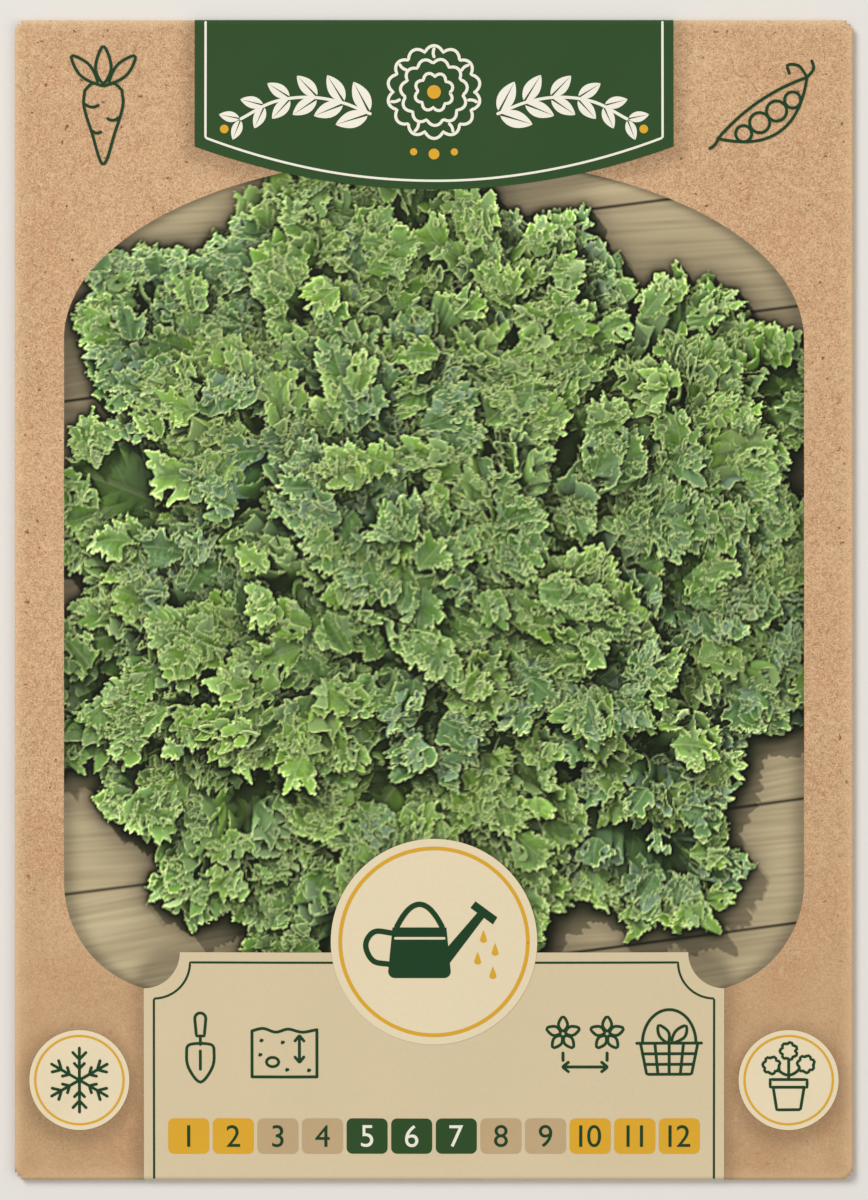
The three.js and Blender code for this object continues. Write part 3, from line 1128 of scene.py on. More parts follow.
LEAF = Curl(
    frills=((4.4, 1.3, 0.06, 1.2, 2.4), (1.7, 2.3, 0.34, 1.05, 0.6), (0.8, 2.6, 0.7, 0.7, 0.1)),
    steepness=1.0,
    crumple=1.0,
    fold=1.0,
    arch=3.0,
    tooth=1.0,
    stalk=(0.10, 0.45),
    rib=(0.25, 0.5),
)
LOBE = Curl(
    frills=((2.6, 1.4, 0.1, 1.0, 0.8), (1.2, 1.5, 0.4, 0.5, 0.15)),
    steepness=0.75,
    crumple=0.4,
    fold=0.3,
    arch=0.8,
    tooth=1.1,
    stalk=(0.0, 0.12),
    rib=(0.02, 0.14),
)


class LeafPicture:
    """A heap of curly leaves on boards, seen from above and lit from the upper left.

    Each leaf is a rib with two ruffled halves, and small lobes of the same making stand along their
    margins. Their points are dropped on a fine raster that keeps the highest at each place, and the
    raster is then shaded by its own heights. All sizes in here are in millimetres on the packet.
    """

    LIGHT = np.array([-0.42, 0.55, 0.72]) / np.linalg.norm([-0.42, 0.55, 0.72])
    # Even light, light of the lamp, what of it shines through a leaf, and through its rim
    AMBIENT, DIRECT, THROUGH, RIM_GLOW = 0.54, 0.6, 0.4, 0.45
    BLOOM = np.array(linear("#94a78c"), np.float32)
    HOLLOW = np.array(linear("#4d5f33"), np.float32)
    # Pitch and depth of the margin's teeth and of its wider notches
    TEETH = ((1.45, 0.95), (4.3, 0.9))
    RIM_WIDTH = 0.15
    # Side veins of a leaf half, and how far its points lean towards the tip
    VEINS, LEAN = 8, 0.45
    # Length and width of a leaf on top of the heap, and what they gain towards its edge
    LEAF_LENGTH, LEAF_WIDTH = (21, 13), (8, 3)
    # Share of a leaf's length that lies behind its place
    LEAF_SETBACK, LOBE_SETBACK = 0.45, 0.35
    # Lobes on each millimetre of a leaf half, their sizes, and where they stand along and across it
    LOBES = 0.36
    LOBE_LENGTH, LOBE_WIDTH = (4.0, 7.2), (2.3, 3.5)
    LOBE_ALONG, LOBE_ACROSS, LOBE_LIFT = (0.22, 0.99), (0.5, 0.95), (0.2, 1.3)
    HEAP_MIDDLE, HEAP_SPREAD, HEAP_HEIGHT = (0.0, 4.0), (40.0, 44.0), 15
    POINTS_ALONG, POINTS_ACROSS = 1.7, 1.5
    # Points added in a stretch, and the least stretch in cells that takes them
    STRETCHES = (((0.5,), 0.85), ((0.25, 0.75), 1.7), ((0.125, 0.375, 0.625, 0.875), 3.4))
    # Least depth of a pinhole, and how many of its eight neighbours stand over it
    PINHOLE_DEPTH, PINHOLE_WALLS = 0.35, 5
    # Reach and strength of the hollows' shade
    HOLLOWS = ((0.3, 0.30), (0.8, 0.45), (2.0, 0.62), (5.0, 0.75))
    # Darkness and soft edge of a cast shadow, and the steps in which it is looked for
    SHADOW, SHADOW_EDGE = 0.45, 0.8
    SHADOW_STEP, SHADOW_STEPS, SHADOW_MARGIN = 0.33, 17, 6
    SHARPENING = 0.5
    # Width, askewness and gap of the boards
    BOARD_WIDTH, BOARD_SLOPE, BOARD_GAP = 17.0, 0.13, 0.022
    # Length, pitch and weight of the streaks of the wood's grain
    GRAIN = ((9, 0.34, 0.30), (22, 0.9, 0.20), (45, 3.5, 0.12))

    def __init__(self, picture, left, right, low, high):
        self.cell = 0.5 * picture.cell / MM
        self.left, self.low = left, low
        self.columns = int((right - left) / self.cell)
        self.rows = int((high - low) / self.cell)
        self.rng = np.random.default_rng(picture.draw)
        self.rim, self.rib = np.array(picture.rim), np.array(picture.rib)
        self.height = np.zeros(self.rows * self.columns, np.float32)
        self.colour = self.boards(np.array(picture.board), np.array(picture.grain))

    def boards(self, wood, grain):
        """Pale boards with long fine grain and dark gaps, a little askew."""
        x, y = np.meshgrid(
            self.left + (np.arange(self.columns) + 0.5) * self.cell,
            self.low + (np.arange(self.rows) + 0.5) * self.cell,
        )
        x, y = x + self.BOARD_SLOPE * y, y - self.BOARD_SLOPE * x
        board = np.floor(y / self.BOARD_WIDTH)
        across = y / self.BOARD_WIDTH - board
        bend = y + 1.6 * np.sin(x / 23 + 2.4 * board)
        share = 0.32
        for pitch_x, pitch_y, weight in self.GRAIN:
            knots = self.rng.uniform(-1, 1, (int(180 / pitch_y), int(300 / pitch_x)))
            row, column = (bend + 85) / pitch_y, (x + 85 + 37 * board % 90) / pitch_x
            share = share + weight * sampled(knots, row, column)
        share = np.clip(share, 0, 1)[..., None]
        gap = smooth(0, self.BOARD_GAP, across) * smooth(0, self.BOARD_GAP, 1 - across)
        tone = (1 + 0.09 * np.sin(board * 2.4 + 1)) * (0.13 + 0.87 * gap)
        tone = tone * (0.93 + 0.07 * smooth(0, 0.2, across))
        mixed = (wood * (1 - share) + grain * share) * tone[..., None]
        return mixed.reshape(-1, 3).astype(np.float32)

    def drape(self, x, y, z, colour, within):
        """Drops a leaf half's grid of points, and more between points that are stretched apart."""
        self.drop(x, y, z, colour, within >= 0)
        shown = within > -0.05
        for down, right in ((1, 0), (0, 1)):
            first = np.s_[: x.shape[0] - down, : x.shape[1] - right]
            spread = np.hypot(x[down:, right:] - x[first], y[down:, right:] - y[first]) / self.cell
            for shares, gap in self.STRETCHES:
                wide = np.nonzero((spread > gap) & shown[first] & shown[down:, right:])
                after = (wide[0] + down, wide[1] + right)
                for share in shares:
                    *between, inset = (
                        value[wide] * (1 - share) + value[after] * share
                        for value in (x, y, z, colour, within)
                    )
                    self.drop(*between, inset >= 0)

    def drop(self, x, y, z, colour, keep):
        """Drops points on the raster, where the highest wins."""
        column = ((x - self.left) / self.cell).astype(np.int32)
        row = ((y - self.low) / self.cell).astype(np.int32)
        keep = keep & (column >= 0) & (column < self.columns) & (row >= 0) & (row < self.rows)
        cell = (row * self.columns + column)[keep]
        height = z[keep]
        higher = height > self.height[cell]
        cell, height = cell[higher], height[higher]
        order = np.argsort(height, kind="stable")
        self.height[cell[order]] = height[order]
        self.colour[cell[order]] = colour[keep][higher][order]

    def ruffles(self, along, across, margin, width, curl, scale):
        """How far a leaf half is pushed out, along and up by its waves, frills and crumples."""
        rng = self.rng
        out = tangent = up = 0
        for spacing, crowding, start, swing, lift in curl.frills:
            spacing = spacing * scale
            turns = margin * crowding / spacing
            phase = 2 * math.pi * turns * along[:, None] + 2.2 * wander(rng, along, turns / 1.35)
            depth = np.clip(0.82 + 0.42 * wander(rng, along, turns / 1.8), 0.12, 1.6)
            push = smooth(start, 1.0, across)[None, :] * depth * spacing * 0.36 * swing
            out = out + np.sin(phase) * push
            tangent = tangent - np.sin(2 * phase) * push
            up = up + 0.8 * np.cos(phase + 0.6) * push
            stand = np.clip(1 + 0.8 * wander(rng, along, turns / 2), 0, 2)
            up = up + lift * scale * smooth(start, 1.0, across)[None, :] * stand
        fine = crumple(rng, along, across, margin * 3 / scale, width / 1.4, 3)
        wide = crumple(rng, along, across, margin / 6, 3, 3)
        at_edge = curl.crumple * (across**4)[None, :] * scale
        out = out + 0.16 * fine[0] * at_edge + 0.5 * wide[0] * across * scale
        tangent = tangent + 0.20 * fine[1] * at_edge + 0.5 * wide[1] * across * scale
        up = up + 0.20 * fine[2] * at_edge + 0.8 * wide[2] * across * scale
        return out, tangent, curl.steepness * up

    def teeth(self, x, y, z, scale):
        """Distance of each point of a leaf half inside its toothed margin, below 0 between teeth."""
        steps = [np.diff(value, axis=1) for value in (x, y, z)]
        reach = np.sqrt(sum(step**2 for step in steps))
        inset = np.zeros_like(x)
        inset[:, :-1] = np.cumsum(reach[:, ::-1], axis=1)[:, ::-1]
        run = np.sqrt(sum(np.diff(value[:, -1]) ** 2 for value in (x, y, z)))
        margin = np.concatenate([[0], np.cumsum(run)]) / scale
        cut = 0
        for pitch, depth in self.TEETH:
            place = margin / pitch
            place = place + 0.3 * np.sin(place * 0.9) + 0.2 * np.sin(place * 2.3 + 1)
            tooth = place.astype(int)
            depths = depth * scale * self.rng.uniform(0.2, 1.0, tooth.max() + 2)
            cut = cut + np.sin(math.pi * (place - tooth)) ** 0.7 * depths[tooth]
        return inset - cut[:, None]

    def lay_half(self, rib, widths, side, length, width, tones, curl, scale):
        """Lays one half of a leaf, from its rib to its frilled and toothed margin."""
        rib_x, rib_y, rib_z, heading = (value[:, None] for value in rib)
        along = np.linspace(0, 1, len(heading)).astype(np.float32)
        across = np.linspace(0, 1, int(width * self.POINTS_ACROSS / self.cell)).astype(np.float32)
        across = across * (1.35 - 0.35 * across)
        out, tangent, up = self.ruffles(along, across, length * 1.25, width, curl, scale)
        fade = smooth(0, 0.12, along)[:, None]
        reach = widths[:, None] * across
        lobes = 1 + 0.10 * np.sin(2 * math.pi * along * 5 + side)[:, None]
        cos, sin = np.cos(heading), np.sin(heading)
        out = reach * lobes + out * fade
        x = rib_x + (self.LEAN * cos - sin * side) * out + cos * tangent * fade
        y = rib_y + (self.LEAN * sin + cos * side) * out + sin * tangent * fade
        z = rib_z + curl.fold * widths[:, None] * (0.55 * across - 0.62 * across**2) + up * fade
        within = self.teeth(x, y, z, curl.tooth * scale)
        on_rib = 1 - smooth(*curl.rib, out)
        colour = self.leaf_colour(x, y, z, side, along, across, on_rib, within, tones)
        self.drape(x, y, z, colour, within)
        if curl is LEAF:
            self.lay_lobes(x, y, z, heading[:, 0], widths, side, length, tones)

    def lay_lobes(self, x, y, z, heading, widths, side, length, tones):
        """Lays small lobes near a leaf half's margin, each pointing about outwards."""
        rng = self.rng
        for _ in range(int(self.LOBES * length)):
            row = int(rng.uniform(*self.LOBE_ALONG) * (x.shape[0] - 1))
            column = int(rng.uniform(*self.LOBE_ACROSS) * (x.shape[1] - 1))
            turn = heading[row] + side * rng.normal(0.9, 0.5)
            fullness = 0.6 + 0.4 * widths[row] / widths.max()
            lobe_length = rng.uniform(*self.LOBE_LENGTH) * fullness
            lobe_width = rng.uniform(*self.LOBE_WIDTH) * fullness
            lobe_x = x[row, column] - self.LOBE_SETBACK * lobe_length * math.cos(turn)
            lobe_y = y[row, column] - self.LOBE_SETBACK * lobe_length * math.sin(turn)
            lobe_z = z[row, column] + rng.uniform(*self.LOBE_LIFT)
            scale = rng.uniform(0.85, 1.1)
            self.lay_leaf(lobe_x, lobe_y, lobe_z, turn, lobe_length, lobe_width, tones, LOBE, scale)

    def leaf_colour(self, x, y, z, side, along, across, on_rib, within, tones):
        """Colour of a leaf half: its face or back by how it lies, its bloom, veins and pale rim."""
        (xs, xt), (ys, yt), (zs, zt) = (np.gradient(value) for value in (x, y, z))
        facing = np.stack([ys * zt - zs * yt, zs * xt - xs * zt, xs * yt - ys * xt], axis=-1) * side
        facing /= np.linalg.norm(facing, axis=-1, keepdims=True) + 1e-12
        lit = facing @ self.LIGHT.astype(np.float32)
        light = self.AMBIENT + self.DIRECT * np.where(lit > 0, lit, -self.THROUGH * lit)
        base = np.where(facing[..., 2:] > 0, tones[0], tones[1])
        (bloom,) = crumple(self.rng, along, across, 6, 3, 1)
        bloom = np.clip(0.16 + 0.12 * bloom, 0, 0.45)[..., None]
        base = base * (1 - bloom) + self.BLOOM * bloom
        vein = np.abs((along[:, None] * self.VEINS - 0.75 * across) % 1 - 0.5) * 2
        vein = smooth(0.93, 0.985, vein) * (1 - smooth(0.45, 0.9, across))
        pale = 0.6 * np.clip(on_rib + 0.6 * vein, 0, 1)[..., None]
        base = base * (1 - pale) + self.rib * pale
        (mottle,) = crumple(self.rng, along, across, 60, 20, 1)
        base = base * (0.94 + 0.2 * smooth(4.0, 0.3, within) + 0.04 * mottle)[..., None]
        rim = 0.9 * smooth(self.RIM_WIDTH * 1.35, self.RIM_WIDTH * 0.65, within)[..., None]
        base = base * (1 - rim) + self.rim * rim
        light = light[..., None] * (1 - self.RIM_GLOW * rim) + self.RIM_GLOW * rim
        return (base * light).astype(np.float32)

    def lay_leaf(self, x, y, z, heading, length, width, tones, curl, scale):
        """Lays a leaf or a lobe whose rib starts at this place."""
        rng = self.rng
        steps = int(length * self.POINTS_ALONG / self.cell)
        along = np.linspace(0, 1, steps)
        bend = rng.uniform(-0.25, 0.25)
        heading = heading + bend * along + 0.12 * np.sin(along * 5 + rng.uniform(0, 6))
        rib_x = x + np.cumsum(np.cos(heading)) * length / steps
        rib_y = y + np.cumsum(np.sin(heading)) * length / steps
        rib_z = z + curl.arch * np.sin(math.pi * 0.8 * along)
        shape = np.sin(math.pi * along**0.85) ** 0.55 * smooth(*curl.stalk, along) * (1 - 0.25 * along)
        rib = [value.astype(np.float32) for value in (rib_x, rib_y, rib_z, heading)]
        widths = (width * np.clip(shape, 0.03, 1)).astype(np.float32)
        for side in (1, -1):
            self.lay_half(rib, widths, side, length, width, tones, curl, scale)

    def heap(self, leaves):
        """Lays the leaves from the heap's edge to its top, each pointing about outwards."""
        rng = self.rng
        golden_turn = math.pi * (3 - math.sqrt(5))
        for i in range(leaves):
            outwards = math.sqrt(1 - (i + 0.5) / leaves)
            bearing = i * golden_turn + rng.normal() * 0.25
            heading = bearing + rng.normal() * (0.4 + 1.2 * (1 - outwards))
            length = np.dot(self.LEAF_LENGTH, (1, outwards**2)) * rng.uniform(0.85, 1.2)
            width = np.dot(self.LEAF_WIDTH, (1, outwards**2)) * rng.uniform(0.85, 1.15)
            x, y = (
                middle + spread * outwards * turn(bearing) - self.LEAF_SETBACK * length * turn(heading)
                for middle, spread, turn in zip(self.HEAP_MIDDLE, self.HEAP_SPREAD, (math.cos, math.sin))
            )
            z = self.HEAP_HEIGHT * (1 - outwards) + rng.normal() * 0.7
            pair = LEAF_TONES[rng.integers(len(LEAF_TONES))]
            tones = [np.array(linear(tone), np.float32) for tone in pair]
            self.lay_leaf(x, y, z, heading, length, width, tones, LEAF, rng.uniform(0.8, 1.1))

    def shifted(self, padded, right, up):
        """A grid that has one more cell on each side, moved by whole cells."""
        return padded[1 + up :, 1 + right :][: self.rows, : self.columns]

    def mend_pinholes(self):
        """Fills single cells that no point of a stretched leaf fell on."""
        height = self.height.reshape(self.rows, self.columns)
        colour = self.colour.reshape(self.rows, self.columns, 3)
        for _ in range(3):
            padded = np.pad(height, 1, mode="edge")
            around = [self.shifted(padded, x, y) for x, y in NEIGHBOURS]
            higher = [neighbour > height + self.PINHOLE_DEPTH for neighbour in around]
            hole = sum(flag.astype(np.int8) for flag in higher) >= self.PINHOLE_WALLS
            padded_colour = np.pad(colour, ((1, 1), (1, 1), (0, 0)), mode="edge")
            votes = sum(flag[hole].astype(np.float32) for flag in higher)
            filled_colour = sum(
                self.shifted(padded_colour, x, y)[hole] * flag[hole][:, None]
                for (x, y), flag in zip(NEIGHBOURS, higher)
            )
            filled_height = sum(value[hole] * flag[hole] for value, flag in zip(around, higher))
            if len(votes):
                colour[hole] = filled_colour / votes[:, None]
                height[hole] = filled_height / votes

    def skylight(self, height):
        """Light from all round: less of it in hollows, a little more on crests."""
        light = np.ones_like(height)
        for reach, weight in self.HOLLOWS:
            depth = box_blur(height, max(1, round(reach / self.cell))) - height
            depth = np.where(depth > 0, depth, 0.3 * depth)
            light *= 1 - weight * depth / (np.abs(depth) + 1.1 * reach)
        return light

    def cast_shadow(self, height):
        """How far each place lies behind something higher on the way to the light."""
        shadow = np.zeros_like(height)
        margin = int(self.SHADOW_MARGIN / self.cell)
        padded = np.pad(height, margin, mode="edge")
        for step in range(1, self.SHADOW_STEPS + 1):
            travel = self.SHADOW_STEP * step * self.LIGHT
            right = margin + round(travel[0] / self.cell)
            up = margin + round(travel[1] / self.cell)
            over = padded[up:, right:][: self.rows, : self.columns] - height - travel[2]
            shadow = np.maximum(shadow, np.clip(over / self.SHADOW_EDGE, 0, 1))
        return shadow

    def shade(self):
        """Shades the raster and halves it to the printed picture, sharpened as for the press."""
        height = self.height.reshape(self.rows, self.columns).astype(float)
        light = self.skylight(height) * (1 - self.SHADOW * self.cast_shadow(height))
        full = self.colour.reshape(self.rows, self.columns, 3) * light[..., None]
        hollow = 0.8 * smooth(0.42, 0.12, light)[..., None]
        full = full * (1 - hollow) + self.HOLLOW * light[..., None] * hollow
        rows, columns = self.rows // 2 * 2, self.columns // 2 * 2
        printed = sum(full[i:rows:2, j:columns:2] for j in (0, 1) for i in (0, 1)) / 4
        soft = np.stack([box_blur(printed[..., channel], 1) for channel in range(3)], axis=-1)
        self.printed = printed + self.SHARPENING * (printed - soft)

    def at(self, x, y):
        """The printed colour at places on the packet."""
        pitch = 2 * self.cell
        return sampled(self.printed, (y - self.low) / pitch - 0.5, (x - self.left) / pitch - 0.5)


PICTURE_TILES = 6
PICTURE_MARGIN = 1.0
DARKEST = 0.002
# How much deeper a printed shadow looks on the picture than on the bare paper
SHADE_ON_PICTURE = 1.3
# Darkness and reach of the window's soft inner edge at its sides and at its top
SIDE_EDGE, TOP_EDGE = (0.5, 1.8), (0.25, 3)


def window_rows(design, cell):
    """Heights of the picture's rows and half its width at each, in millimetres."""
    half = design.window_half_width / MM
    low, shoulder = design.window_bottom / MM, design.window_shoulder / MM
    top = design.window_top / MM
    corner = design.window_corner / MM
    turn = np.linspace(0, math.pi / 2, int(math.pi / 2 * corner / cell))
    foot = low + corner - corner * np.cos(turn)
    foot_half = half - corner + corner * np.sin(turn)
    middle = np.linspace(low + corner, shoulder, int((shoulder - low - corner) / cell))[1:-1]
    turn = np.linspace(0, math.pi / 2 * 0.998, int(math.pi / 2 * (top - shoulder) / cell))
    arch = shoulder + (top - shoulder) * np.sin(turn)
    arch_half = half * np.cos(turn)
    heights = np.concatenate([foot, middle, arch])
    halves = np.concatenate([foot_half, np.full(len(middle), half), arch_half])
    return heights, halves


def window_edge_shade(x, y, halves, design):
    """Soft dark edge inside the picture's window, as if the paper were cut out over it."""
    inside_by = ((halves - np.abs(x), SIDE_EDGE), (design.window_top / MM - y, TOP_EDGE))
    return sum(dark * np.exp(-((inset / reach) ** 2)) for inset, (dark, reach) in inside_by)


def build_picture():
    """The printed picture, in tiles that follow the packet's front."""
    packet = settings()
    shape = PacketShape(packet.paper)
    cell = packet.picture.cell / MM
    heights, halves = window_rows(packet.print, cell)
    half = halves.max() + PICTURE_MARGIN
    low, high = heights.min() - PICTURE_MARGIN, heights.max() + PICTURE_MARGIN
    painting = LeafPicture(packet.picture, -half, half, low, high)
    painting.heap(packet.picture.leaves)
    painting.mend_pinholes()
    painting.shade()
    columns = int(2 * halves.max() / cell)
    x = halves[:, None] * np.linspace(-1, 1, columns)[None, :]
    y = np.broadcast_to(heights[:, None], x.shape)
    tone = np.maximum(painting.at(x, y), DARKEST) ** packet.picture.contrast
    shade = printed_shade(np.stack([x, y], axis=-1).reshape(-1, 2), packet.print).reshape(x.shape)
    edge = window_edge_shade(x, y, halves[:, None], packet.print)
    tone = tone * ((1 - SHADE_ON_PICTURE * shade) * (1 - edge))[..., None]
    lift = packet.paper.thickness / 2 + packet.print.step
    placed = shape.place(x * MM, y * MM, lift)
    material = picture_ink()
    breaks = np.linspace(0, len(heights) - 1, PICTURE_TILES + 1).astype(int)
    for tile, (first, last) in enumerate(zip(breaks[:-1], breaks[1:]), 1):
        name = f"picture_{tile}"
        rows = slice(first, last + 1)
        points = placed[rows]
        mesh = plain_mesh(name, points.reshape(-1, 3), grid_faces(*points.shape[:2]))
        store = mesh.color_attributes.new("picture", "FLOAT_COLOR", "POINT")
        rgba = np.insert(tone[rows], 3, 1.0, axis=-1)
        store.data.foreach_set("color", rgba.astype(np.float32).ravel())
        piece(name, mesh, material)


# The printed panels


def header_outline(design, inset=0.0):
    """The header: straight sides that run over the top fold, and a foot that sags."""
    half = design.header_half_width / MM - inset
    edge = design.header_edge / MM + inset * 0.8
    sag = (design.header_edge - design.header_low) / MM
    foot = bow((-half, edge), (half, edge), -sag, steps=60)
    top = ENVELOPE_HIGH.y / MM + PRINT_BLEED
    return np.vstack([[(-half, top)], foot, [(half, top)]])


def plaque_outline(design, inset=0.0):
    """The plaque: hollow upper corners, and sides that run over the bottom fold."""
    half = design.plaque_half_width / MM - inset
    top = design.plaque_top / MM - inset
    scoop = design.plaque_scoop / MM
    foot = ENVELOPE_LOW.y / MM - PRINT_BLEED
    right = arc(half, top, scoop, 270, 180, steps=16)
    return np.vstack([[(half, foot)], right, mirrored(right), [(-half, foot)]])


# Ink steps over the paper: the picture is on 1, and what is printed on the badge's can on 6
PANEL, ON_PANEL, BADGE, ON_BADGE = 2, 3, 4, 5
# Place and radius of each dot of the header
DOTS = (
    (0, 70, 0.95),
    (0, 61.4, 0.75),
    (-2.8, 61.7, 0.5),
    (2.8, 61.7, 0.5),
    (28.9, 64.9, 0.6),
    (-28.9, 64.9, 0.6),
)


def build_header(inks, shape):
    """The green header with its cream line and its garland."""
    design = settings().print
    patch("header", [header_outline(design)], inks["green"], shape, PANEL)
    border = header_outline(design, 1.5)
    border[[0, -1], 1] = ENVELOPE_HIGH.y / MM - 0.4
    strokes("header_line", [border], 0.32, inks["pale"], shape, ON_PANEL)
    stem = through([(8.8, 67.0), (12.8, 68.6), (17.4, 69.3), (22.2, 68.6), (26.6, 66.3)])
    for name, path in (("garland_right", stem), ("garland_left", stem * [-1, 1])):
        strokes(name + "_stem", [path], 0.42, inks["pale"], shape, ON_PANEL)
        leaf = bpy.data.objects.new("garland_leaf", filled("garland_leaf", leaf_outlines(4.6, 1.1)))
        values = {"Leaf": leaf, "Count": 6, "Spread": math.radians(40)}
        values |= {"Hair": STROKE_HAIR, "Ink": inks["pale"]}
        mesh = grown(drawn_lines(name, [path]), sprig_tree(), values)
        bpy.data.objects.remove(leaf)
        piece(name, lay_on_packet(mesh, shape, ON_PANEL), inks["pale"])
    strokes("curly_head", moved(curly_head(), 0, 70), 0.42, inks["pale"], shape, ON_PANEL)
    dots = [arc(x, y, radius, 0, 360)[:-1] for x, y, radius in DOTS]
    patch("header_dots", dots, inks["mustard"], shape, ON_PANEL + 1)


def frill(x, y, radius, depth, lobes, turn):
    """A round leaf margin with even frills."""
    angle = np.linspace(0, 2 * math.pi, 14 * lobes + 1)
    reach = radius + depth * np.abs(np.sin(lobes * angle / 2 + turn)) ** 0.8
    return np.stack([x + reach * np.cos(angle), y + reach * np.sin(angle)], axis=1)


def spokes(arms):
    """Directions of evenly set arms, the first one up, each with the direction to its left."""
    for turn in np.radians(90 + 360 / arms * np.arange(arms)):
        along = np.array([math.cos(turn), math.sin(turn)])
        yield along, np.array([-along[1], along[0]])


def curly_head():
    """A head of curly leaves seen from above."""
    rings = ((5.6, 0.85, 14, 0.0), (3.9, 0.75, 11, 0.6), (2.1, 0.6, 8, 0.2))
    ribs = [bow(4.9 * along, 6.0 * along, 0.12) for along, _ in spokes(7)]
    return [frill(0, 0, *ring) for ring in rings] + ribs


def leaf_outlines(length, half_width):
    """Two halves of a pointed leaf along +X with a thin gap between them for its rib."""
    along = np.linspace(0, 1, 15)
    width = half_width * np.sin(math.pi * along**0.9) ** 0.8
    gap = 0.16 * (1 - along)
    upper = np.stack([0.4 + along * length, gap + width], axis=1)
    rib = np.stack([0.4 + along * length, gap], axis=1)[::-1]
    half = np.vstack([upper, rib[1:-1]])
    return [half, half * [1, -1]]


def build_plaque(inks, shape):
    """The beige plaque with its thin green line."""
    design = settings().print
    patch("plaque", [plaque_outline(design)], inks["beige"], shape, PANEL)
    border = plaque_outline(design, 1.4)
    border[[0, -1], 1] = ENVELOPE_LOW.y / MM + 0.4
    strokes("plaque_line", [border], 0.3, inks["line_green"], shape, ON_PANEL)


def build_badge(inks, shape):
    """The cream badge with a mustard ring and a watering can."""
    design = settings().print
    y, radius = design.badge_y / MM, design.badge_radius / MM
    patch("badge", [arc(0, y, radius, 0, 360, steps=120)[:-1]], inks["cream"], shape, BADGE)
    ring = arc(0, y, radius - 1.3, 0, 360, steps=120)
    strokes("badge_ring", [ring], 0.5, inks["mustard"], shape, ON_BADGE)
    can = (-1.2, y - 0.2)
    foot = [arc(-4.2, -3.9, 0.9, 180, 270, steps=6), arc(2.6, -3.9, 0.9, 270, 360, steps=6)]
    body = np.vstack([*foot, [(2.9, 2.2), (-4.5, 2.2)]])
    spout = line((3.0, -3.2), (8.2, 3.7), (7.3, 4.4), (3.0, -0.6))
    rose = line((6.2, 4.9), (9.3, 2.6), (9.9, 3.6), (6.9, 5.8))
    parts = (("can_body", body, 0.0), ("can_spout", spout, 0.1), ("can_rose", rose, 0.2))
    for name, outline, over in parts:
        patch(name, moved([outline], *can), inks["line_green"], shape, ON_BADGE + over)
    grip = through([(-4.4, 1.4), (-7.0, 1.6), (-8.2, -0.2), (-7.2, -2.4), (-4.9, -2.9)])
    brace = bow((-3.9, 2.3), (2.3, 2.3), 3.1)
    strokes("can_handles", moved([grip, brace], *can), 0.75, inks["line_green"], shape, ON_BADGE + 0.3)
    band = line((-4.1, 0.7), (2.6, 0.7))
    strokes("can_band", moved([band], *can), 0.35, inks["cream"], shape, ON_BADGE + 1)
    drops = [drop_outline(*place) for place in ((8.0, 0.6), (9.6, -1.2), (7.2, -2.4), (9.3, -4.4))]
    patch("can_drops", moved(drops, *can), inks["mustard"], shape, ON_BADGE)


def drop_outline(x, y, scale=0.52):
    """A falling drop."""
    belly = arc(0, 0, 1, 200, 340, steps=14)
    return np.vstack([belly, [(0.35, 1.5), (0, 2.3), (-0.35, 1.5)]]) * scale + [x, y]


# The pictograms, each about 11 mm across and drawn round its own middle


def carrot():
    """A carrot with its leaves."""
    left = [(-2.1, 2.2), (-2.2, 0.4), (-1.3, -2.6)]
    root = through([*left, (0, -6.2), (1.3, -2.6), (2.2, 0.4), (2.1, 2.2)])
    crown = through([(2.1, 2.2), (1.2, 3.0), (0, 2.7), (-1.2, 3.0), (-2.1, 2.2)])
    rings = [bow((-2.0, 0.6), (-0.6, 0.5), -0.25), bow((1.7, -0.9), (0.5, -1.0), 0.25)]
    rings.append(bow((-1.2, -2.4), (-0.3, -2.5), -0.2))
    middle_leaf = loop(through([(0, 3.0), (-0.9, 4.8), (0, 7.2), (0.9, 4.8)], closed=True))
    side_leaf = loop(through([(-0.7, 3.0), (-2.7, 4.0), (-3.6, 6.1), (-1.6, 5.1)], closed=True))
    return [root, crown, *rings, middle_leaf, side_leaf, loop(mirrored(side_leaf))]


def pea_pod():
    """An open pod with its peas."""
    outer = bow((-5.6, -3.4), (5.4, 4.2), -3.6)
    inner = bow((-5.6, -3.4), (5.4, 4.2), 0.9)
    peas = []
    for share, radius in ((0.22, 1.0), (0.40, 1.25), (0.59, 1.25), (0.77, 1.0)):
        x, y = -5.6 + 11 * share, -3.4 + 7.6 * share
        peas.append(arc(x + 0.75, y - 1.05, radius, 0, 360))
    stalk = through([(5.4, 4.2), (6.2, 5.2), (6.0, 6.2)])
    curl = through([(5.4, 4.2), (4.4, 5.6), (3.0, 5.7), (3.2, 4.7)])
    tip = bow((-5.6, -3.4), (-6.6, -4.6), 0.2)
    return [outer, inner, *peas, stalk, curl, tip]


def trowel():
    """A hand trowel, point down."""
    left = [(0, -5.4), (-1.8, -3.2), (-2.1, -0.9), (-1.6, 0.4)]
    blade = loop(through(left + [(1.6, 0.4), (2.1, -0.9), (1.8, -3.2)], closed=True))
    crease = line((0, -0.6), (0, -3.4))
    neck = line((0, 0.4), (0, 1.7))
    shaft = line((-0.85, 4.4), (-0.6, 1.7), (0.6, 1.7), (0.85, 4.4))
    grip = np.vstack([arc(0, 4.4, 0.85, 0, 180, steps=12), shaft])
    return [blade, crease, neck, grip]


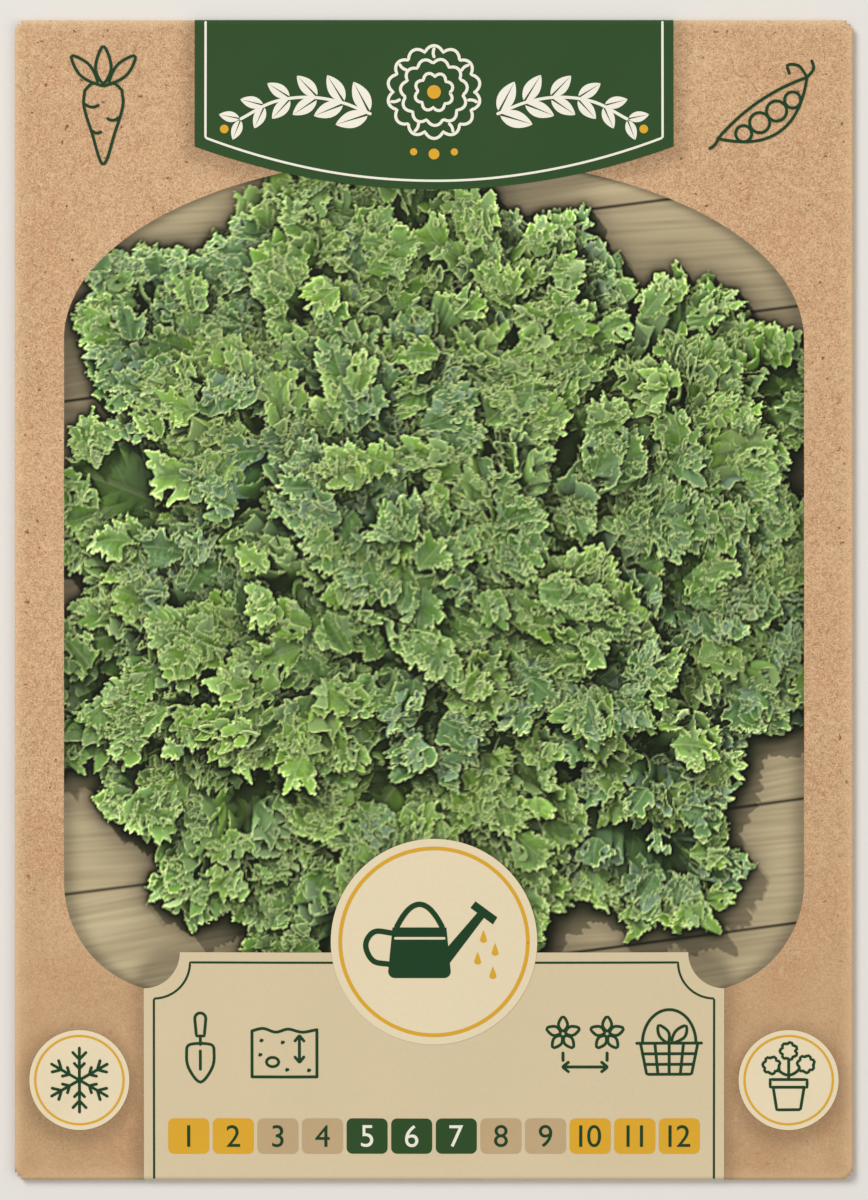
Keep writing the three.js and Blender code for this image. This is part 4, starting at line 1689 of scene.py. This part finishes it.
def sowing_depth():
    """Soil with a seed in it, and an arrow for its depth."""
    soil = through([(-5.2, 2.4), (-3.4, 2.8), (-1.4, 2.2), (0.6, 2.7), (2.8, 2.2), (5.2, 2.6)])
    sides = [line((-5.2, 2.4), (-5.2, -5)), line((5.2, 2.6), (5.2, -5)), line((-5.2, -5), (5.2, -5))]
    seed = arc(-1.9, -2.6, 1.0, 0, 360, radius_y=0.75)
    shaft = line((2.4, 1.6), (2.4, -2.6))
    heads = [line((1.7, 0.8), (2.4, 1.7), (3.1, 0.8)), line((1.7, -1.8), (2.4, -2.7), (3.1, -1.8))]
    grit = ((-3.7, 0.9), (-0.3, 0.6), (-3.9, -1.4), (0.4, -3.8), (3.9, -3.9))
    dots = [arc(x, y, 0.14, 0, 360, steps=8) for x, y in grit]
    return [soil, *sides, seed, shaft, *heads, *dots]


def plant_spacing():
    """Two young plants from above, and an arrow for the gap between them."""
    leaf = loop(through([(0.4, 0), (1.35, 0.7), (2.6, 0), (1.35, -0.7)], closed=True))
    paths = []
    for x in (-3.3, 3.3):
        paths += [leaf[:, :1] * along + leaf[:, 1:] * across + [x, 1.6] for along, across in spokes(5)]
    paths.append(line((-3.3, -3.4), (3.3, -3.4)))
    for side in (-1, 1):
        paths.append(line((side * 2.5, -2.7), (side * 3.4, -3.4), (side * 2.5, -4.1)))
        paths.append(line((side * 3.3, -1.3), (side * 3.3, -2.4)))
    return paths


def basket():
    """A harvest basket with leaves in it."""
    body = np.vstack([line((-4.6, 0.4), (-3.6, -4.6)), line((3.6, -4.6), (4.6, 0.4))])
    rim = line((-5.2, 0.4), (5.2, 0.4))
    bands = [line((-4.3, -1.3), (4.3, -1.3)), line((-3.95, -3.0), (3.95, -3.0))]
    staves = [line((x, 0.4), (0.78 * x, -4.6)) for x in (-2.3, 0, 2.3)]
    handle = arc(0, 0.4, 4.3, 0, 180, radius_y=5.4)
    leaf = loop(through([(-0.2, 0.5), (-1.6, 1.6), (-1.7, 3.3), (-0.1, 2.2)], closed=True))
    other = loop(through([(0.5, 0.5), (1.0, 2.3), (2.7, 3.2), (2.5, 1.4)], closed=True))
    return [body, rim, *bands, *staves, handle, leaf, other]


def snowflake():
    """A six-armed snowflake."""
    paths = []
    for along, across in spokes(6):
        paths.append(line((0, 0), 4.8 * along))
        for start, reach in ((1.7, 1.0), (3.1, 1.3)):
            tips = [start * along + reach * (0.8 * along + 0.75 * side * across) for side in (-1, 1)]
            paths.append(line(tips[0], start * along, tips[1]))
    return paths


def pot_plant():
    """A young plant in a pot."""
    pot = loop(line((-2.6, -1.2), (2.6, -1.2), (2.0, -5.0), (-2.0, -5.0)))
    rim = loop(line((-3.1, 0.1), (3.1, 0.1), (3.1, -1.2), (-3.1, -1.2)))
    stem = line((0, 0.1), (0, 3.5))
    places = ((-2.9, 2.5, 0.4), (2.9, 2.7, 0.4), (0, 4.9, 0.0))
    heads = [frill(x, y, 1.1, 0.4, 7, turn) for x, y, turn in places]
    stalks = [bow((-1.8, 1.8), (0, 0.8), -0.2), bow((1.8, 1.9), (0, 0.8), 0.2)]
    return [pot, rim, stem, *heads, *stalks]


def build_pictograms(inks, shape):
    """The line drawings on the plaque, on two cream discs and on the bare kraft corners."""
    design = settings().print
    disc_x, disc_y, radius = design.disc_x / MM, design.disc_y / MM, design.disc_radius / MM
    for name, x in (("disc_left", -disc_x), ("disc_right", disc_x)):
        patch(name, [arc(x, disc_y, radius, 0, 360, steps=72)[:-1]], inks["cream"], shape, PANEL)
        ring = arc(x, disc_y, radius - 0.8, 0, 360, steps=72)
        strokes(name + "_ring", [ring], 0.3, inks["mustard"], shape, ON_PANEL)
    for name, paths, x, y, scale in (
        ("icon_frost", snowflake(), -disc_x, disc_y, 0.92),
        ("icon_pot", pot_plant(), disc_x, disc_y, 0.82),
        ("icon_trowel", trowel(), -32.2, -61.6, 0.9),
        ("icon_depth", sowing_depth(), -20.6, -61.4, 0.86),
        ("icon_spacing", plant_spacing(), 20.8, -61.2, 0.92),
        ("icon_basket", basket(), 32.4, -61.4, 0.86),
        ("icon_carrot", carrot(), -45.6, 67.6, 1.22),
        ("icon_peas", pea_pod(), 45.4, 67.4, 1.12),
    ):
        strokes(name, moved(paths, x, y, scale), 0.4, inks["line_green"], shape, ON_PANEL)


# The month strip


MONTH_PITCH = 6.15
MONTH_CELL, MONTH_CORNER = (5.65, 4.9), 0.8
MONTH_Y = -73.9
MONTH_NUMBER = 3.4
SOWING = range(5, 8)
# The typeface's own size for a number of height 1, and how near its digits stand
TYPE_SIZE, TYPE_SPACING = 1.28, 0.85
# Name, first month, number of months and ink
MONTH_RUNS = (
    ("months_harvest_early", 1, 2, "mustard"),
    ("months_rest_spring", 3, 2, "kraft_tint"),
    ("months_sowing", 5, 3, "green"),
    ("months_rest_summer", 8, 2, "kraft_tint"),
    ("months_harvest_late", 10, 3, "mustard"),
)


def rounded_box(width, height, corner):
    """A box round the origin with rounded corners."""
    x, y = width / 2 - corner, height / 2 - corner
    corners = ((x, y, 0), (-x, y, 90), (-x, -y, 180), (x, -y, 270))
    return np.vstack([arc(cx, cy, corner, start, start + 90, steps=5) for cx, cy, start in corners])


def build_months(inks, shape):
    """A strip of twelve numbered cells for the months."""
    grid = np.stack(np.meshgrid(np.arange(-2, 2.1), np.arange(-1.5, 1.6)), axis=-1).reshape(-1, 2)
    outline = rounded_box(*MONTH_CELL, MONTH_CORNER)
    cell = bpy.data.objects.new("month_cell", filled("month_cell", [outline], grid))
    for name, first, months, tone in MONTH_RUNS:
        start = (first - 6.5) * MONTH_PITCH
        values = {
            "Copy": cell,
            "Count": months,
            "Start": (start * MM, MONTH_Y * MM, 0),
            "Pitch": (MONTH_PITCH * MM, 0, 0),
            "Ink": inks[tone],
        }
        carrier = new_object(name, bpy.data.meshes.new(name))
        mesh = grown(carrier, copies_tree(), values)
        piece(name, lay_on_packet(mesh, shape, ON_PANEL), inks[tone])
    bpy.data.objects.remove(cell)
    for month in range(1, 13):
        tone = "pale" if month in SOWING else "line_green"
        print_month(month, inks[tone], shape)


def print_month(month, ink_material, shape):
    """A month's plain number, in the middle of its cell."""
    name = f"month_{month}"
    data = bpy.data.curves.new(name, "FONT")
    data.body = str(month)
    data.size = MONTH_NUMBER * MM * TYPE_SIZE
    data.space_character = TYPE_SPACING
    mesh = evaluated_mesh(new_object(name, data))
    flat = mesh_points(mesh)
    place = np.array([(month - 6.5) * MONTH_PITCH * MM, MONTH_Y * MM, 0])
    flat += place - (flat.min(axis=0) + flat.max(axis=0)) / 2
    mesh.vertices.foreach_set("co", flat.astype(np.float32).ravel())
    piece(name, lay_on_packet(mesh, shape, ON_PANEL + 1), ink_material)


def make_inks():
    """The inks of the print, made once."""
    design = settings().print
    return {
        tone: bpy.data.materials.get(f"{tone}_ink") or ink(f"{tone}_ink", list(getattr(design, tone)))
        for tone in ("green", "line_green", "beige", "cream", "pale", "mustard", "kraft_tint")
    }


# The studio


def aimed_light(name, power, reach, place, target):
    """A soft square light that faces a point."""
    data = bpy.data.lights.new(name, "AREA")
    data.energy = power
    data.size = reach
    light = new_object(name, data)
    light.location = place
    light.rotation_euler = (Vector(target) - Vector(place)).to_track_quat("-Z", "Y").to_euler()


FLOOR_HALF = 3.0
FLOOR_LEVEL = -0.1 * MM
SENSOR = 36.0
SKY_TINT = (1, 0.985, 0.96, 1)


def build_stage():
    """Floor, soft lights, even sky and the camera that looks straight down on the front."""
    scene = bpy.context.scene
    stage = settings().stage
    turns = ((-1, -1), (1, -1), (1, 1), (-1, 1))
    corners = [(x * FLOOR_HALF, y * FLOOR_HALF, FLOOR_LEVEL) for x, y in turns]
    floor = new_object("floor", plain_mesh("floor", corners, [(0, 1, 2, 3)]))
    floor.data.materials.append(studio_floor(stage))
    aimed_light("key_light", stage.key, 1.3, (-1.35, 1.55, 1.95), (0, 0, 0))
    aimed_light("fill_light", stage.fill, 2.0, (1.9, -0.5, 2.0), (0, 0, 0))
    world = bpy.data.worlds.new("studio")
    world.use_nodes = True
    background = world.node_tree.nodes["Background"]
    background.inputs["Color"].default_value = SKY_TINT
    background.inputs["Strength"].default_value = stage.sky
    scene.world = world
    scene.view_settings.view_transform = "Standard"
    data = bpy.data.cameras.new("camera")
    data.lens = stage.lens
    data.sensor_width = SENSOR
    camera = new_object("camera", data)
    seen_height = ENVELOPE_HIGH.y - ENVELOPE_LOW.y + 2 * stage.margin
    camera.location = (0, 0, ENVELOPE_HIGH.z / 2 + seen_height * stage.lens / SENSOR)
    scene.camera = camera


# Operators and panel


def print_tools():
    """The inks and the packet's shape, which every print needs."""
    return make_inks(), PacketShape(settings().paper)


class SEEDPACKET_OT_paper(bpy.types.Operator):
    """Fold the kraft blank into the packet"""

    bl_idname = "seedpacket.paper"
    bl_label = "Paper"

    def execute(self, context):
        build_paper()
        return {"FINISHED"}


class SEEDPACKET_OT_seeds(bpy.types.Operator):
    """Scatter the seeds in the packet"""

    bl_idname = "seedpacket.seeds"
    bl_label = "Seeds"

    def execute(self, context):
        build_seeds()
        return {"FINISHED"}


class SEEDPACKET_OT_picture(bpy.types.Operator):
    """Print the picture of curly leaves"""

    bl_idname = "seedpacket.picture"
    bl_label = "Picture"

    def execute(self, context):
        build_picture()
        return {"FINISHED"}


class SEEDPACKET_OT_header(bpy.types.Operator):
    """Print the header and its garland"""

    bl_idname = "seedpacket.header"
    bl_label = "Header"

    def execute(self, context):
        build_header(*print_tools())
        return {"FINISHED"}


class SEEDPACKET_OT_plaque(bpy.types.Operator):
    """Print the plaque and the badge over it"""

    bl_idname = "seedpacket.plaque"
    bl_label = "Plaque and Badge"

    def execute(self, context):
        build_plaque(*print_tools())
        build_badge(*print_tools())
        return {"FINISHED"}


class SEEDPACKET_OT_pictograms(bpy.types.Operator):
    """Print the line drawings"""

    bl_idname = "seedpacket.pictograms"
    bl_label = "Pictograms"

    def execute(self, context):
        build_pictograms(*print_tools())
        return {"FINISHED"}


class SEEDPACKET_OT_months(bpy.types.Operator):
    """Print the strip of months"""

    bl_idname = "seedpacket.months"
    bl_label = "Months"

    def execute(self, context):
        build_months(*print_tools())
        return {"FINISHED"}


class SEEDPACKET_OT_stage(bpy.types.Operator):
    """Set up the floor, the lights and the camera"""

    bl_idname = "seedpacket.stage"
    bl_label = "Stage"

    def execute(self, context):
        build_stage()
        return {"FINISHED"}


STEPS = (
    SEEDPACKET_OT_stage,
    SEEDPACKET_OT_paper,
    SEEDPACKET_OT_seeds,
    SEEDPACKET_OT_picture,
    SEEDPACKET_OT_header,
    SEEDPACKET_OT_plaque,
    SEEDPACKET_OT_pictograms,
    SEEDPACKET_OT_months,
)


class SEEDPACKET_PT_build(bpy.types.Panel):
    """Lists the steps that build the packet"""

    bl_idname = "SEEDPACKET_PT_build"
    bl_label = "Seed Packet"
    bl_space_type = "VIEW_3D"
    bl_region_type = "UI"
    bl_category = "Seed Packet"

    def draw(self, context):
        for step in STEPS:
            self.layout.operator(step.bl_idname)


CLASSES = (
    PaperSettings,
    PrintSettings,
    PictureSettings,
    SeedSettings,
    StageSettings,
    PacketSettings,
    *STEPS,
    SEEDPACKET_PT_build,
)


def register():
    """Registers the classes and the scene's settings."""
    for entry in CLASSES:
        bpy.utils.register_class(entry)
    bpy.types.Scene.seed_packet = bpy.props.PointerProperty(type=PacketSettings)


def unregister():
    """Removes what register added."""
    del bpy.types.Scene.seed_packet
    for entry in reversed(CLASSES):
        bpy.utils.unregister_class(entry)


def main():
    """Builds the packet and its studio."""
    register()
    for step in STEPS:
        group, name = step.bl_idname.split(".")
        getattr(getattr(bpy.ops, group), name)()


if __name__ == "__main__":
    main()
